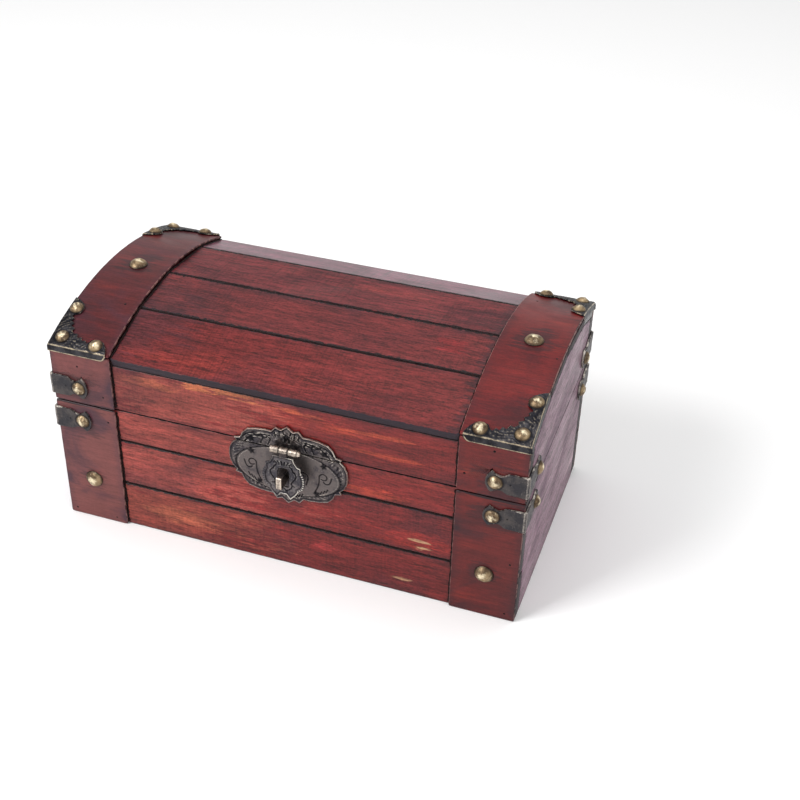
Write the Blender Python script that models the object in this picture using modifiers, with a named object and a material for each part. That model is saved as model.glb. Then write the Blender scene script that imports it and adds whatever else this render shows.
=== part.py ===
"""A small domed wooden chest: planked walls, slatted lid, corner metal and a hasp.

Metres. X runs along the front from left to right, Y from front to back, Z up.
The origin is the middle of the underside.
"""

from math import asin, cos, pi, sin

import bmesh
import bpy
import numpy as np
from mathutils import Matrix, Vector

# The chest as a whole
box_length = 0.220
box_depth = 0.120
eaves_height = 0.095
dome_rise = 0.012
split_height = 0.066
lid_gap = 0.0006
fit_gap = 0.0003
overrun = 0.002
weld_reach = 0.000001

# Wooden boards
wall_thickness = 0.006
end_thickness = 0.006
bottom_thickness = 0.005
slat_thickness = 0.004
plank_pitch = 0.0246
groove_width = 0.0011
edge_round = 0.0004

# Where the slats begin, meet and end, as shares of the dome from front to back
slat_edge_shares = (0, 0.265, 0.51, 0.80, 1)

# Wooden bands over the walls and the dome
band_width = 0.030
band_thickness = 0.0012
band_slices = 16

# Sheet metal and round-headed tacks
sheet = 0.0008
tack_radius = 0.0033
tack_height = 0.0020
big_tack_radius = 0.0043
big_tack_height = 0.0025
big_tack_level = 0.0237
nail_radius = 0.0009
nail_height = 0.0006
tack_rim = 0.0002
tack_shank = 0.0007
tack_sides = 14
nail_sides = 10
tack_rings = 3

# Corner protectors on the eaves
corner_leg = 0.029
corner_flange = 0.0022
corner_side_flange = 0.0022
corner_slices = 5

# Corner straps either side of the lid line; the shares are of the lid's side
strap_offset_share = 0.31
strap_height_share = 0.37
strap_front_leg = 0.0180
strap_side_leg = 0.0200
strap_tack_inset = 0.0046

# Hasp on the front; the share is the plate's reach up the lid's side
hasp_x = 0.004
hasp_half_width = 0.028
hasp_half_height = 0.0208
hasp_rise_share = 0.431
hasp_plate = 0.0010
hasp_knuckle_radius = 0.0016
hasp_barrel = 0.0126
hasp_standoff = 0.0036
hasp_axis_rise = 0.0023
flap_half_width = 0.0100
flap_length = 0.0248
flap_sheet = 0.0008
flap_strip_overlap = 0.0050
flap_inset = 0.00005
slot_width = 0.0055
slot_height = 0.0100
slot_drop = 0.0108
staple_width = 0.0024
staple_height = 0.0064
staple_reach = 0.0105
staple_sheet = 0.0008
staple_round = 0.0006
slot_round = 0.0014
hasp_pin_head = 0.0010

# Rear hinges; the share is the leaf's reach up the lid's side
rear_hinge_x = 0.050
rear_hinge_width = 0.018
rear_leaf_share = 0.328
rear_pin_standoff = 0.0009
ring_sides = 16

# Places that follow from the sizes
half_length = box_length / 2
half_depth = box_depth / 2
face_y = half_depth - band_thickness - fit_gap
wall_back_y = face_y - wall_thickness
end_y = wall_back_y - fit_gap
inner_x = half_length - end_thickness
band_x = half_length - band_width / 2
base_top = split_height - lid_gap / 2
lid_bottom = split_height + lid_gap / 2
lid_side = eaves_height - split_height
strap_offset = strap_offset_share * lid_side
strap_height = strap_height_share * lid_side
dome_radius = (half_depth**2 + dome_rise**2) / (2 * dome_rise)
dome_centre_z = eaves_height + dome_rise - dome_radius
dome_half_angle = asin(half_depth / dome_radius)
slat_radius = dome_radius - band_thickness - fit_gap
slat_edges = [(2 * share - 1) * dome_half_angle for share in slat_edge_shares]
rear_axis_y = half_depth + rear_pin_standoff
rear_knuckle_radius = rear_axis_y - face_y - fit_gap
plate_front_y = -(face_y + fit_gap + hasp_plate)
hasp_axis_y = plate_front_y - hasp_standoff
hasp_axis_z = split_height + hasp_axis_rise
hasp_rise = hasp_rise_share * lid_side
hasp_middle_z = split_height + hasp_rise - hasp_half_height
rear_leaf_height = rear_leaf_share * lid_side

X = Vector((1, 0, 0))
Y = Vector((0, 1, 0))
Z = Vector((0, 0, 1))


def clear_scene():
    for item in list(bpy.data.objects):
        bpy.data.objects.remove(item, do_unlink=True)


def collection(name):
    group = bpy.data.collections.new(name)
    bpy.context.scene.collection.children.link(group)
    return group


def finish(name, colour, roughness, metallic):
    """A material of one colour, roughness and metallic value."""
    material = bpy.data.materials.new(name)
    material.use_nodes = True
    shader = material.node_tree.nodes["Principled BSDF"]
    shader.inputs["Base Color"].default_value = (*colour, 1)
    shader.inputs["Roughness"].default_value = roughness
    shader.inputs["Metallic"].default_value = metallic
    return material


def pivot(name, place, parent=None):
    """An empty on a joint's axis, which carries the pieces that turn about it."""
    empty = bpy.data.objects.new(name, None)
    parts.objects.link(empty)
    empty.location = place
    carry(empty, parent)
    return empty


def carry(item, parent):
    if parent is not None:
        bpy.context.view_layer.update()
        item.parent = parent
        item.matrix_parent_inverse = parent.matrix_world.inverted()


def part(name, mesh, material, parent=None, place=(0, 0, 0), turn=None):
    """One named piece of the chest."""
    item = bpy.data.objects.new(name, mesh)
    parts.objects.link(item)
    mesh.materials.clear()
    mesh.materials.append(material)
    item.matrix_world = Matrix.Translation(place) @ (turn or Matrix()).to_4x4()
    carry(item, parent)
    return item


def tool(name, mesh):
    """A cutter or a piece that a Boolean joins on."""
    item = bpy.data.objects.new(name, mesh)
    tools.objects.link(item)
    item.hide_render = True
    item.display_type = "WIRE"
    return item


def block_mesh(name, low, high):
    """A box mesh between two opposite corners."""
    low = Vector(low)
    high = Vector(high)
    mesh = bpy.data.meshes.new(name)
    shape = bmesh.new()
    bmesh.ops.create_cube(shape, size=1)
    bmesh.ops.scale(shape, vec=high - low, verts=shape.verts)
    bmesh.ops.translate(shape, vec=(low + high) / 2, verts=shape.verts)
    shape.to_mesh(mesh)
    shape.free()
    return mesh


def ease_edges(item, width=edge_round):
    """Breaks the sharp edges, as sanding does."""
    bevel = item.modifiers.new("eased edges", "BEVEL")
    bevel.width = width
    bevel.segments = 1
    bevel.limit_method = "ANGLE"


def board(name, low, high, material, parent=None, cuts=()):
    """A straight board between two opposite corners, placed by its middle."""
    middle = (Vector(low) + Vector(high)) / 2
    mesh = block_mesh(name, low, high)
    if cuts:
        mesh = combined(mesh, cuts, "DIFFERENCE")
    mesh.transform(Matrix.Translation(-middle))
    item = part(name, mesh, material, parent, middle)
    ease_edges(item)
    return item


def across(side, x_near, x_far):
    """The lower and upper x of a span that lies on the left (-1) or right (1)."""
    return sorted((side * x_near, side * x_far))


def facing(u, v):
    """The turn that lays a flat outline's own axes along u and v."""
    return Matrix((u, v, u.cross(v))).transposed()


def sheet_mesh(name, loops, thickness):
    """A flat outline, with any holes, as a closed solid about its middle plane."""
    curve = bpy.data.curves.new(name, "CURVE")
    curve.dimensions = "2D"
    curve.fill_mode = "BOTH"
    curve.extrude = thickness / 2
    for loop in loops:
        spline = curve.splines.new("POLY")
        spline.points.add(len(loop) - 1)
        spline.points.foreach_set("co", np.array([(u, v, 0, 1) for u, v in loop]).ravel())
        spline.use_cyclic_u = True
    blank = tool(name, curve)
    mesh = made_real(blank)
    bpy.data.objects.remove(blank)
    shape = bmesh.new()
    shape.from_mesh(mesh)
    bmesh.ops.remove_doubles(shape, verts=shape.verts, dist=weld_reach)
    bmesh.ops.recalc_face_normals(shape, faces=shape.faces)
    shape.to_mesh(mesh)
    shape.free()
    return mesh


def made_real(item):
    """The mesh of an object with its modifiers applied."""
    graph = bpy.context.evaluated_depsgraph_get()
    graph.update()
    return bpy.data.meshes.new_from_object(item.evaluated_get(graph), depsgraph=graph)


def combined(mesh, others, operation):
    """The mesh after each other mesh, in the same space, is cut out or joined on."""
    body = tool("body", mesh)
    helpers = [body]
    for other in others:
        helper = tool("helper", other)
        boolean = body.modifiers.new("combine", "BOOLEAN")
        boolean.operation = operation
        boolean.object = helper
        helpers.append(helper)
    bpy.context.view_layer.update()
    result = made_real(body)
    for helper in helpers:
        bpy.data.objects.remove(helper)
    return result


def turned_mesh(name, profile, sides):
    """A solid turned about Z from (radius, height) points, top to bottom."""
    mesh = bpy.data.meshes.new(name)
    line = [(radius, 0, height) for radius, height in profile]
    mesh.from_pydata(line, [(i, i + 1) for i in range(len(line) - 1)], [])
    blank = tool(name, mesh)
    screw = blank.modifiers.new("turn", "SCREW")
    screw.steps = sides
    screw.render_steps = sides
    screw.use_merge_vertices = True
    screw.merge_threshold = weld_reach
    result = made_real(blank)
    bpy.data.objects.remove(blank)
    return result


def moved(mesh, matrix):
    """A copy of a mesh in another place."""
    copy = mesh.copy()
    copy.transform(matrix)
    if matrix.determinant() < 0:
        copy.flip_normals()
    return copy


def smooth(mesh, sharp=pi / 6):
    mesh.shade_smooth()
    mesh.set_sharp_from_angle(angle=sharp)
    return mesh


def sliced(mesh, places, direction):
    """The mesh with extra edges where planes across a direction meet it."""
    shape = bmesh.new()
    shape.from_mesh(mesh)
    for place in places:
        bmesh.ops.bisect_plane(
            shape,
            geom=shape.verts[:] + shape.edges[:] + shape.faces[:],
            dist=weld_reach,
            plane_co=direction * place,
            plane_no=direction,
        )
    bmesh.ops.triangulate(shape, faces=[f for f in shape.faces if len(f.verts) > 4])
    shape.to_mesh(mesh)
    shape.free()
    return mesh


def dome_point(angle, radius):
    """The (y, z) of a point over the dome; the angle is 0 at the crown, negative in front."""
    return radius * sin(angle), dome_centre_z + radius * cos(angle)


def wrapped_on_dome(mesh):
    """Bends a mesh drawn flat onto the dome.

    Drawn flat, y is the way over the dome from its front edge and z the height
    over the bands. What lies in front of the edge hangs straight down.
    """
    for vertex in mesh.vertices:
        x, way, height = vertex.co
        if way < 0:
            vertex.co = (x, way - half_depth, eaves_height + height)
        else:
            angle = way / dome_radius - dome_half_angle
            vertex.co = (x, *dome_point(angle, dome_radius + height))
    return mesh


def ring_points(radius, start, stop, steps):
    """Points on a circle about the origin from one angle to another."""
    turn = (stop - start) / steps
    return [
        (radius * cos(start + i * turn), radius * sin(start + i * turn))
        for i in range(steps + 1)
    ]


def knuckle_loops(radius, thickness, reach):
    """The side view of a strip rolled round a pin: it leaves along +u under the pin."""
    inner = radius - thickness
    meeting = asin(inner / radius)
    roll = ring_points(radius, -pi / 2, -2 * pi - meeting, ring_sides)
    outer = [(reach, -radius), *roll, (reach, -inner)]
    bore = ring_points(inner, 0, 2 * pi, ring_sides)[:-1]
    return [outer, bore]


def tack_profile(radius, height, foot):
    """A domed tack head on a short rim, down to the outer edge of its foot."""
    dome_height = height - tack_rim
    ball = (radius**2 + dome_height**2) / (2 * dome_height)
    reach = asin(radius / ball)
    angles = [reach * i / tack_rings for i in range(tack_rings + 1)]
    dome = [(ball * sin(angle), height - ball + ball * cos(angle)) for angle in angles]
    return [*dome, (radius, -foot)]


clear_scene()
parts = collection("domed_storage_chest")
tools = collection("tools")

red_wood = finish("red stained wood", (0.165, 0.022, 0.018), 0.38, 0.0)
band_wood = finish("red band wood", (0.150, 0.020, 0.018), 0.36, 0.0)
side_wood = finish("end wood", (0.150, 0.055, 0.070), 0.45, 0.0)
bare_wood = finish("bare inside wood", (0.400, 0.230, 0.110), 0.70, 0.0)
dark_metal = finish("dark corner metal", (0.045, 0.045, 0.050), 0.42, 1.0)
hasp_metal = finish("grey bronze", (0.110, 0.098, 0.095), 0.40, 1.0)
brass = finish("antique brass", (0.380, 0.270, 0.120), 0.32, 1.0)

lid = pivot("lid_pivot", (0, rear_axis_y, split_height))
flap = pivot("hasp_pivot", (hasp_x, hasp_axis_y, hasp_axis_z), lid)

sides = (("left", -1), ("right", 1))
faces = (("front", -1), ("back", 1))


# The base: a bottom panel, two ends, and planked walls front and back
board(
    "base_bottom",
    (fit_gap - inner_x, fit_gap - wall_back_y, 0),
    (inner_x - fit_gap, wall_back_y - fit_gap, bottom_thickness),
    bare_wood,
)
for side_name, side in sides:
    x_low, x_high = across(side, inner_x, half_length)
    board(f"base_end_{side_name}", (x_low, -end_y, 0), (x_high, end_y, base_top), side_wood)

plank_edges = (0, plank_pitch, 2 * plank_pitch, base_top + groove_width / 2)
for face_name, face in faces:
    y_low, y_high = sorted((face * wall_back_y, face * face_y))
    for level, level_name in enumerate(("low", "mid", "top")):
        z_low = plank_edges[level] + (groove_width / 2 if level else 0)
        z_high = plank_edges[level + 1] - groove_width / 2
        board(
            f"base_{face_name}_plank_{level_name}",
            (-half_length, y_low, z_low),
            (half_length, y_high, z_high),
            red_wood,
        )


# The lid's slats, each flat, side by side round the dome
def slat_outline(first_edge, last_edge, front_notch, back_notch):
    """A slat in plan; a notch lets its outer edge in behind the wall bands."""
    shoulder = half_length - band_width - fit_gap
    right = [
        (shoulder, first_edge),
        (shoulder, first_edge + front_notch),
        (half_length, first_edge + front_notch),
        (half_length, last_edge - back_notch),
        (shoulder, last_edge - back_notch),
        (shoulder, last_edge),
    ]
    if not front_notch:
        right = right[2:]
    if not back_notch:
        right = right[:-2]
    left = [(-x, y) for x, y in reversed(right)]
    return right + left


undersides = []
for number, (start, end) in enumerate(zip(slat_edges, slat_edges[1:])):
    middle_angle = (start + end) / 2
    half_chord = slat_radius * sin((end - start) / 2)
    outermost = slat_radius * sin(dome_half_angle) - face_y
    notch = outermost / cos(middle_angle)
    is_first = start == slat_edges[0]
    is_last = end == slat_edges[-1]
    loop = slat_outline(
        -half_chord + (0 if is_first else groove_width / 2),
        half_chord - (0 if is_last else groove_width / 2),
        notch if is_first else 0,
        notch if is_last else 0,
    )
    depth = slat_radius * cos((end - start) / 2) - slat_thickness / 2
    slat = part(
        f"lid_slat_{number + 1}",
        sheet_mesh("slat", [loop], slat_thickness),
        red_wood,
        lid,
        (0, *dome_point(middle_angle, depth)),
        Matrix.Rotation(-middle_angle, 3, "X"),
    )
    ease_edges(slat)
    undersides.append((middle_angle, depth - slat_thickness / 2 - fit_gap))


# The lid's ends and walls are cut to the slats' undersides
def under_slats(y):
    """The height just below the slats at a place from front to back."""
    return dome_centre_z + min((depth - y * sin(turn)) / cos(turn) for turn, depth in undersides)


arch = []
for (turn, depth), (next_turn, next_depth) in zip(undersides, undersides[1:]):
    y = (next_depth * cos(turn) - depth * cos(next_turn)) / sin(next_turn - turn)
    arch.insert(0, (y, under_slats(y)))
end_loop = [
    (-end_y, lid_bottom),
    (end_y, lid_bottom),
    (end_y, under_slats(end_y)),
    *arch,
    (-end_y, under_slats(-end_y)),
]
for side_name, side in sides:
    lid_end = part(
        f"lid_end_{side_name}",
        sheet_mesh("lid end", [end_loop], end_thickness),
        side_wood,
        lid,
        (side * (half_length - end_thickness / 2), 0, 0),
        facing(Y, Z),
    )
    ease_edges(lid_end)

for face_name, face in faces:
    wall_loop = [
        (face * face_y, lid_bottom),
        (face * wall_back_y, lid_bottom),
        (face * wall_back_y, under_slats(face * wall_back_y)),
        (face * face_y, under_slats(face * face_y)),
    ]
    lid_wall = part(
        f"lid_{face_name}_board",
        sheet_mesh("lid wall", [wall_loop], box_length),
        red_wood,
        lid,
        (0, 0, 0),
        facing(Y, Z),
    )
    ease_edges(lid_wall)

# Round-headed tacks: small heads hold the corner metal, big ones stand in the bands
tack_outline = [*tack_profile(tack_radius, tack_height, sheet / 2), (0, -sheet / 2)]
tack = turned_mesh("tack", tack_outline, tack_sides)
shank_outline = [(tack_shank, 0), (tack_shank, -band_thickness), (0, -band_thickness)]
big_tack_outline = [*tack_profile(big_tack_radius, big_tack_height, 0), *shank_outline]
big_tack = smooth(turned_mesh("big tack", big_tack_outline, tack_sides))
hole_radius = tack_shank + fit_gap
hole_depth = band_thickness + overrun
hole_outline = [(0, overrun), (hole_radius, overrun), (hole_radius, -hole_depth), (0, -hole_depth)]
hole = turned_mesh("tack hole", hole_outline, tack_sides)
nail_outline = [*tack_profile(nail_radius, nail_height, sheet / 2), (0, -sheet / 2)]
nail = turned_mesh("nail", nail_outline, nail_sides)
into_front = Matrix.Rotation(pi / 2, 4, "X")
into_back = Matrix.Rotation(-pi / 2, 4, "X")
for side_name, side in sides:
    front_place = Vector((side * band_x, -half_depth, big_tack_level))
    dome_place = Vector((side * band_x, 0, eaves_height + dome_rise))
    above_front = front_place - Y * fit_gap
    above_dome = dome_place + Z * fit_gap
    part(f"base_tack_{side_name}", big_tack.copy(), brass, None, above_front, into_front)
    part(f"lid_tack_{side_name}", big_tack.copy(), brass, lid, above_dome)

# Thin wooden bands near both ends, over the walls and over the dome
lid_band_top = dome_point(dome_half_angle, dome_radius - band_thickness)[1] - fit_gap
for side_name, side in sides:
    x_low, x_high = across(side, half_length - band_width, half_length)
    hole_place = Matrix.Translation((side * band_x, -half_depth, big_tack_level))
    front_hole = moved(hole, hole_place @ into_front)
    for face_name, face in faces:
        y_low, y_high = sorted((face * half_depth, face * (half_depth - band_thickness)))
        board(
            f"base_band_{face_name}_{side_name}",
            (x_low, y_low, 0),
            (x_high, y_high, base_top),
            band_wood,
            cuts=[front_hole] if face_name == "front" else (),
        )
        board(
            f"lid_band_{face_name}_{side_name}",
            (x_low, y_low, lid_bottom),
            (x_high, y_high, lid_band_top),
            band_wood,
            lid,
        )

dome_way = 2 * dome_half_angle * dome_radius
for side_name, side in sides:
    x_low, x_high = across(side, half_length - band_width, half_length)
    strip = block_mesh("dome band", (x_low, 0, -band_thickness), (x_high, dome_way, 0))
    slices = [dome_way * i / band_slices for i in range(1, band_slices)]
    bent = wrapped_on_dome(sliced(strip, slices, Y))
    crown_hole = moved(hole, Matrix.Translation((side * band_x, 0, eaves_height + dome_rise)))
    bent = combined(bent, [crown_hole], "DIFFERENCE")
    part(f"lid_band_dome_{side_name}", smooth(bent), band_wood, lid)

# Corner protectors: pressed sheet with a ragged long edge, folded over the eaves.
# Each share is (along the leg, away from the leg) of the leg's length.
ragged_shares = (
    (1.000, 0.000),
    (0.975, 0.085),
    (0.900, 0.205),
    (0.800, 0.262),
    (0.690, 0.240),
    (0.625, 0.160),
    (0.570, 0.205),
    (0.520, 0.190),
    (0.480, 0.245),
    (0.425, 0.230),
    (0.385, 0.300),
    (0.330, 0.290),
)
flange_end_shares = ((1.000, 0.35), (0.985, 0.72), (0.950, 0.93), (0.900, 1.00))
corner_tack_shares = ((0.770, 0.130), (0.175, 0.175), (0.130, 0.770))


def corner_mesh():
    """The protector of the front right corner, with its three tacks."""
    x_edge = half_length + fit_gap
    way_edge = -fit_gap
    height = fit_gap
    near = [(along * corner_leg, away * corner_leg) for along, away in ragged_shares]
    ragged = near + [(away, along) for along, away in reversed(near)]
    shape = bmesh.new()
    corner = shape.verts.new((x_edge, way_edge, height))
    top = [
        shape.verts.new((x_edge - along, way_edge + away, height)) for along, away in ragged
    ]
    shape.faces.new([corner, *reversed(top)])
    front_end = [
        shape.verts.new((x_edge - along * corner_leg, way_edge, height - down * corner_flange))
        for along, down in flange_end_shares
    ]
    low = shape.verts.new((x_edge, way_edge, height - corner_flange))
    side_end = [
        shape.verts.new((x_edge, way_edge + along * corner_leg, height - down * corner_side_flange))
        for along, down in flange_end_shares
    ]
    side_low = shape.verts.new((x_edge, way_edge, height - corner_side_flange))
    shape.faces.new([corner, top[0], *front_end, low, side_low])
    shape.faces.new([corner, side_low, *reversed(side_end), top[-1]])
    bmesh.ops.recalc_face_normals(shape, faces=shape.faces)
    mesh = bpy.data.meshes.new("corner")
    shape.to_mesh(mesh)
    shape.free()
    if mesh.polygons[0].normal.z < 0:
        mesh.flip_normals()
    blank = tool("corner", mesh)
    wall = blank.modifiers.new("wall", "SOLIDIFY")
    wall.thickness = sheet
    wall.offset = 1
    wall.use_even_offset = True
    solid = made_real(blank)
    bpy.data.objects.remove(blank)
    slices = [0, *(corner_leg * i / corner_slices for i in range(1, corner_slices))]
    solid = wrapped_on_dome(sliced(solid, slices, Y))
    heads = []
    for along, away in corner_tack_shares:
        angle = away * corner_leg / dome_radius - dome_half_angle
        place = (half_length - along * corner_leg, *dome_point(angle, dome_radius + fit_gap + sheet))
        turn = Matrix.Rotation(-angle, 4, "X")
        heads.append(moved(tack, Matrix.Translation(place) @ turn))
    return combined(solid, heads, "UNION")


right_corner = corner_mesh()
for side_name, side in sides:
    for face_name, face in faces:
        flip = Matrix.Diagonal((side, -face, 1, 1))
        part(
            f"lid_corner_{face_name}_{side_name}",
            smooth(moved(right_corner, flip)),
            dark_metal,
            lid,
        )

# Corner straps: a flat blank with an axe-shaped end each way, folded round the corner.
# Each share is (along the leg, half the height) from the fold to the end.
strap_shares = (
    (0.47, 1.00),
    (0.51, 0.84),
    (0.56, 0.93),
    (0.60, 0.68),
    (0.68, 0.66),
    (0.75, 0.76),
    (0.83, 1.03),
    (0.93, 0.72),
    (0.98, 0.36),
    (1.00, 0.00),
)
fold_slices = 3
fold_reach = fit_gap * pi / 4


def strap_mesh():
    """A strap about the chest's front right corner edge, with its two tacks."""
    half = strap_height / 2

    def leg(length):
        return [(along * length + fold_reach, up * half) for along, up in strap_shares]

    side_top = leg(strap_side_leg)
    front_top = [(-u, v) for u, v in reversed(leg(strap_front_leg))]
    top = front_top + side_top
    bottom = [(u, -v) for u, v in reversed(top[1:-1])]
    blank = sheet_mesh("strap", [top + bottom], sheet)
    slices = [fold_reach * (2 * i / fold_slices - 1) for i in range(fold_slices + 1)]
    blank = sliced(blank, slices, X)
    for vertex in blank.vertices:
        u, v, height = vertex.co
        out = fit_gap + sheet / 2 + height
        if u < -fold_reach:
            vertex.co = (u + fold_reach, -out, v)
        elif u > fold_reach:
            vertex.co = (out, u - fold_reach, v)
        else:
            angle = (u / fold_reach - 1) * pi / 4
            vertex.co = (out * cos(angle), out * sin(angle), v)
    out = fit_gap + sheet
    front_place = Matrix.Translation((strap_tack_inset - strap_front_leg, -out, 0))
    side_place = Matrix.Translation((out, strap_side_leg - strap_tack_inset, 0))
    heads = [
        moved(tack, front_place @ into_front),
        moved(tack, side_place @ Matrix.Rotation(pi / 2, 4, "Y")),
    ]
    return combined(blank, heads, "UNION")


strap = smooth(strap_mesh())
corner_turns = {
    ("front", "right"): Matrix.Identity(3),
    ("front", "left"): Matrix.Rotation(pi, 3, "Y"),
    ("back", "right"): Matrix.Rotation(pi, 3, "X"),
    ("back", "left"): Matrix.Rotation(pi, 3, "Z"),
}
for side_name, side in sides:
    for face_name, face in faces:
        turn = corner_turns[face_name, side_name]
        corner = Vector((side * half_length, face * half_depth, split_height))
        part(
            f"base_strap_{face_name}_{side_name}",
            strap.copy(),
            dark_metal,
            None,
            corner - Z * strap_offset,
            turn,
        )
        part(
            f"lid_strap_{face_name}_{side_name}",
            strap.copy(),
            dark_metal,
            lid,
            corner + Z * strap_offset,
            turn,
        )

# The hasp: an ornate plate in two halves either side of the lid line.
# Each share is (across, up) of half the plate, for its upper right quarter.
plate_shares = (
    (1.000, 0.000),
    (0.990, 0.150),
    (0.945, 0.290),
    (0.870, 0.390),
    (0.905, 0.450),
    (0.800, 0.480),
    (0.755, 0.620),
    (0.670, 0.740),
    (0.520, 0.790),
    (0.360, 0.815),
    (0.265, 0.810),
    (0.190, 0.935),
    (0.105, 0.890),
    (0.000, 1.000),
)
quarter = [(u * hasp_half_width, v * hasp_half_height) for u, v in plate_shares]
upper_half = quarter + [(-u, v) for u, v in reversed(quarter[:-1])]
plate_loop = upper_half + [(u, -v) for u, v in reversed(upper_half[1:-1])]
plate_place = Matrix.Translation((hasp_x, plate_front_y + hasp_plate / 2, hasp_middle_z))
plate = moved(
    sheet_mesh("hasp plate", [plate_loop], hasp_plate), plate_place @ facing(X, Z).to_4x4()
)
plate_span = 2 * hasp_half_width

# Where the nails go; each share is (across, up from the lid line) of the plate's reach
upper_nail_shares = ((-0.61, 0.18), (0.00, 0.57), (0.61, 0.18))
lower_nail_shares = ((-0.61, -0.13), (0.61, -0.13), (-0.42, -0.68), (0.42, -0.68))


def plate_nails(shares, reach):
    """The nails of one half of the plate, which reaches so far from the lid line."""
    return [
        moved(
            nail,
            Matrix.Translation(
                (hasp_x + across * hasp_half_width, plate_front_y, split_height + up * reach)
            )
            @ into_front,
        )
        for across, up in shares
    ]


def beyond(z_low, z_high):
    """A block that takes the plate away between two heights."""
    return block_mesh(
        "cut",
        (hasp_x - plate_span, plate_front_y - overrun, z_low),
        (hasp_x + plate_span, plate_front_y + hasp_plate + overrun, z_high),
    )


knuckle = hasp_barrel / 3 - fit_gap
barrel = sheet_mesh(
    "hasp barrel",
    knuckle_loops(hasp_knuckle_radius, sheet, hasp_standoff + hasp_plate / 2),
    hasp_barrel,
)
barrel_place = Matrix.Translation((hasp_x, hasp_axis_y, hasp_axis_z))
barrel = moved(barrel, barrel_place @ facing(Y, Z).to_4x4())
barrel_notch = block_mesh(
    "cut",
    (
        hasp_x - knuckle / 2 - fit_gap,
        hasp_axis_y - hasp_knuckle_radius - overrun,
        hasp_axis_z - hasp_knuckle_radius - overrun,
    ),
    (
        hasp_x + knuckle / 2 + fit_gap,
        plate_front_y - fit_gap,
        hasp_axis_z + hasp_knuckle_radius + overrun,
    ),
)
barrel = combined(barrel, [barrel_notch], "DIFFERENCE")
upper_plate = combined(plate.copy(), [beyond(0, lid_bottom)], "DIFFERENCE")
upper_nails = plate_nails(upper_nail_shares, hasp_rise)
upper_plate = combined(upper_plate, [barrel, *upper_nails], "UNION")
part("hasp_upper_plate", smooth(upper_plate), hasp_metal, lid)

# The lower plate is slotted for the legs of the staple
staple_z = hasp_axis_z - slot_drop - flap_strip_overlap / 2
staple_top = staple_z + staple_height / 2
staple_foot = staple_z - staple_height / 2
leg_slots = [
    block_mesh(
        "cut",
        (hasp_x - staple_width / 2 - fit_gap, plate_front_y - overrun, z_low - fit_gap),
        (
            hasp_x + staple_width / 2 + fit_gap,
            plate_front_y + hasp_plate + overrun,
            z_low + staple_sheet + fit_gap,
        ),
    )
    for z_low in (staple_foot, staple_top - staple_sheet)
]
lower_plate = combined(
    plate, [beyond(base_top, split_height + plate_span), *leg_slots], "DIFFERENCE"
)
lower_nails = plate_nails(lower_nail_shares, 2 * hasp_half_height - hasp_rise)
lower_plate = combined(lower_plate, lower_nails, "UNION")
part("hasp_lower_plate", smooth(lower_plate), hasp_metal)

staple_back = plate_front_y + hasp_plate
staple_front = plate_front_y - staple_reach
staple_loop = [
    (staple_back, staple_foot),
    (staple_front + staple_round, staple_foot),
    (staple_front, staple_foot + staple_round),
    (staple_front, staple_top - staple_round),
    (staple_front + staple_round, staple_top),
    (staple_back, staple_top),
    (staple_back, staple_top - staple_sheet),
    (staple_front + staple_sheet, staple_top - staple_sheet),
    (staple_front + staple_sheet, staple_foot + staple_sheet),
    (staple_back, staple_foot + staple_sheet),
]
part(
    "hasp_staple",
    sheet_mesh("staple", [staple_loop], staple_width),
    hasp_metal,
    None,
    (hasp_x, 0, 0),
    facing(Y, Z),
)

# The flap is a small shield hung on the middle knuckle, slotted for the staple.
# Each share is (half width, way down from the pin), from the neck to the middle.
shield_shares = (
    (0.24, 0.085),
    (0.30, 0.150),
    (0.50, 0.200),
    (0.66, 0.270),
    (0.82, 0.280),
    (0.84, 0.350),
    (0.97, 0.450),
    (1.00, 0.560),
    (0.97, 0.660),
    (0.88, 0.740),
    (0.70, 0.790),
    (0.56, 0.880),
    (0.32, 1.000),
    (0.13, 0.900),
)
shield_right = [(u * flap_half_width, -v * flap_length) for u, v in shield_shares]
shield_loop = shield_right + [(-u, v) for u, v in reversed(shield_right)]
slot_middle = -slot_drop - flap_strip_overlap / 2
slot_right = [
    (slot_width / 2 - slot_round, slot_middle + slot_height / 2),
    (slot_width / 2, slot_middle + slot_height / 2 - slot_round),
    (slot_width / 2, slot_middle - slot_height / 2),
]
slot_loop = slot_right + [(-u, v) for u, v in reversed(slot_right)]
shield_y = -hasp_knuckle_radius + sheet / 2
shield = moved(
    sheet_mesh("shield", [shield_loop, slot_loop], flap_sheet - 2 * flap_inset),
    Matrix.Translation((0, shield_y, 0)) @ facing(X, Z).to_4x4(),
)
rolled = moved(
    sheet_mesh("roll", knuckle_loops(hasp_knuckle_radius, sheet, flap_strip_overlap), knuckle),
    facing(-Z, Y).to_4x4(),
)
part(
    "hasp_flap",
    smooth(combined(shield, [rolled], "UNION")),
    hasp_metal,
    flap,
    (hasp_x, hasp_axis_y, hasp_axis_z),
)

# The pin's head is domed; each share is (radius, height) of the head
pin_head_shares = ((0.0, 1.00), (0.7, 0.82), (0.9, 0.66), (1.0, 0.50), (1.0, 0.00))
pin_radius = hasp_knuckle_radius - sheet - fit_gap
pin_head_radius = hasp_knuckle_radius - fit_gap
pin_half = hasp_barrel / 2 + fit_gap
pin_head = [
    (out * pin_head_radius, pin_half + up * hasp_pin_head) for out, up in pin_head_shares
]
pin_profile = [*pin_head, (pin_radius, pin_half), (pin_radius, -pin_half), (0, -pin_half)]
part(
    "hasp_hinge_pin",
    smooth(turned_mesh("hasp pin", pin_profile, tack_sides)),
    hasp_metal,
    lid,
    (hasp_x, hasp_axis_y, hasp_axis_z),
    Matrix.Rotation(pi / 2, 3, "Y"),
)

# Two rear hinges, each of two nailed leaves rolled round one pin
rear_nail_share = 0.7
rear_third = rear_hinge_width / 3
rear_clear = rear_knuckle_radius + fit_gap


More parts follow.
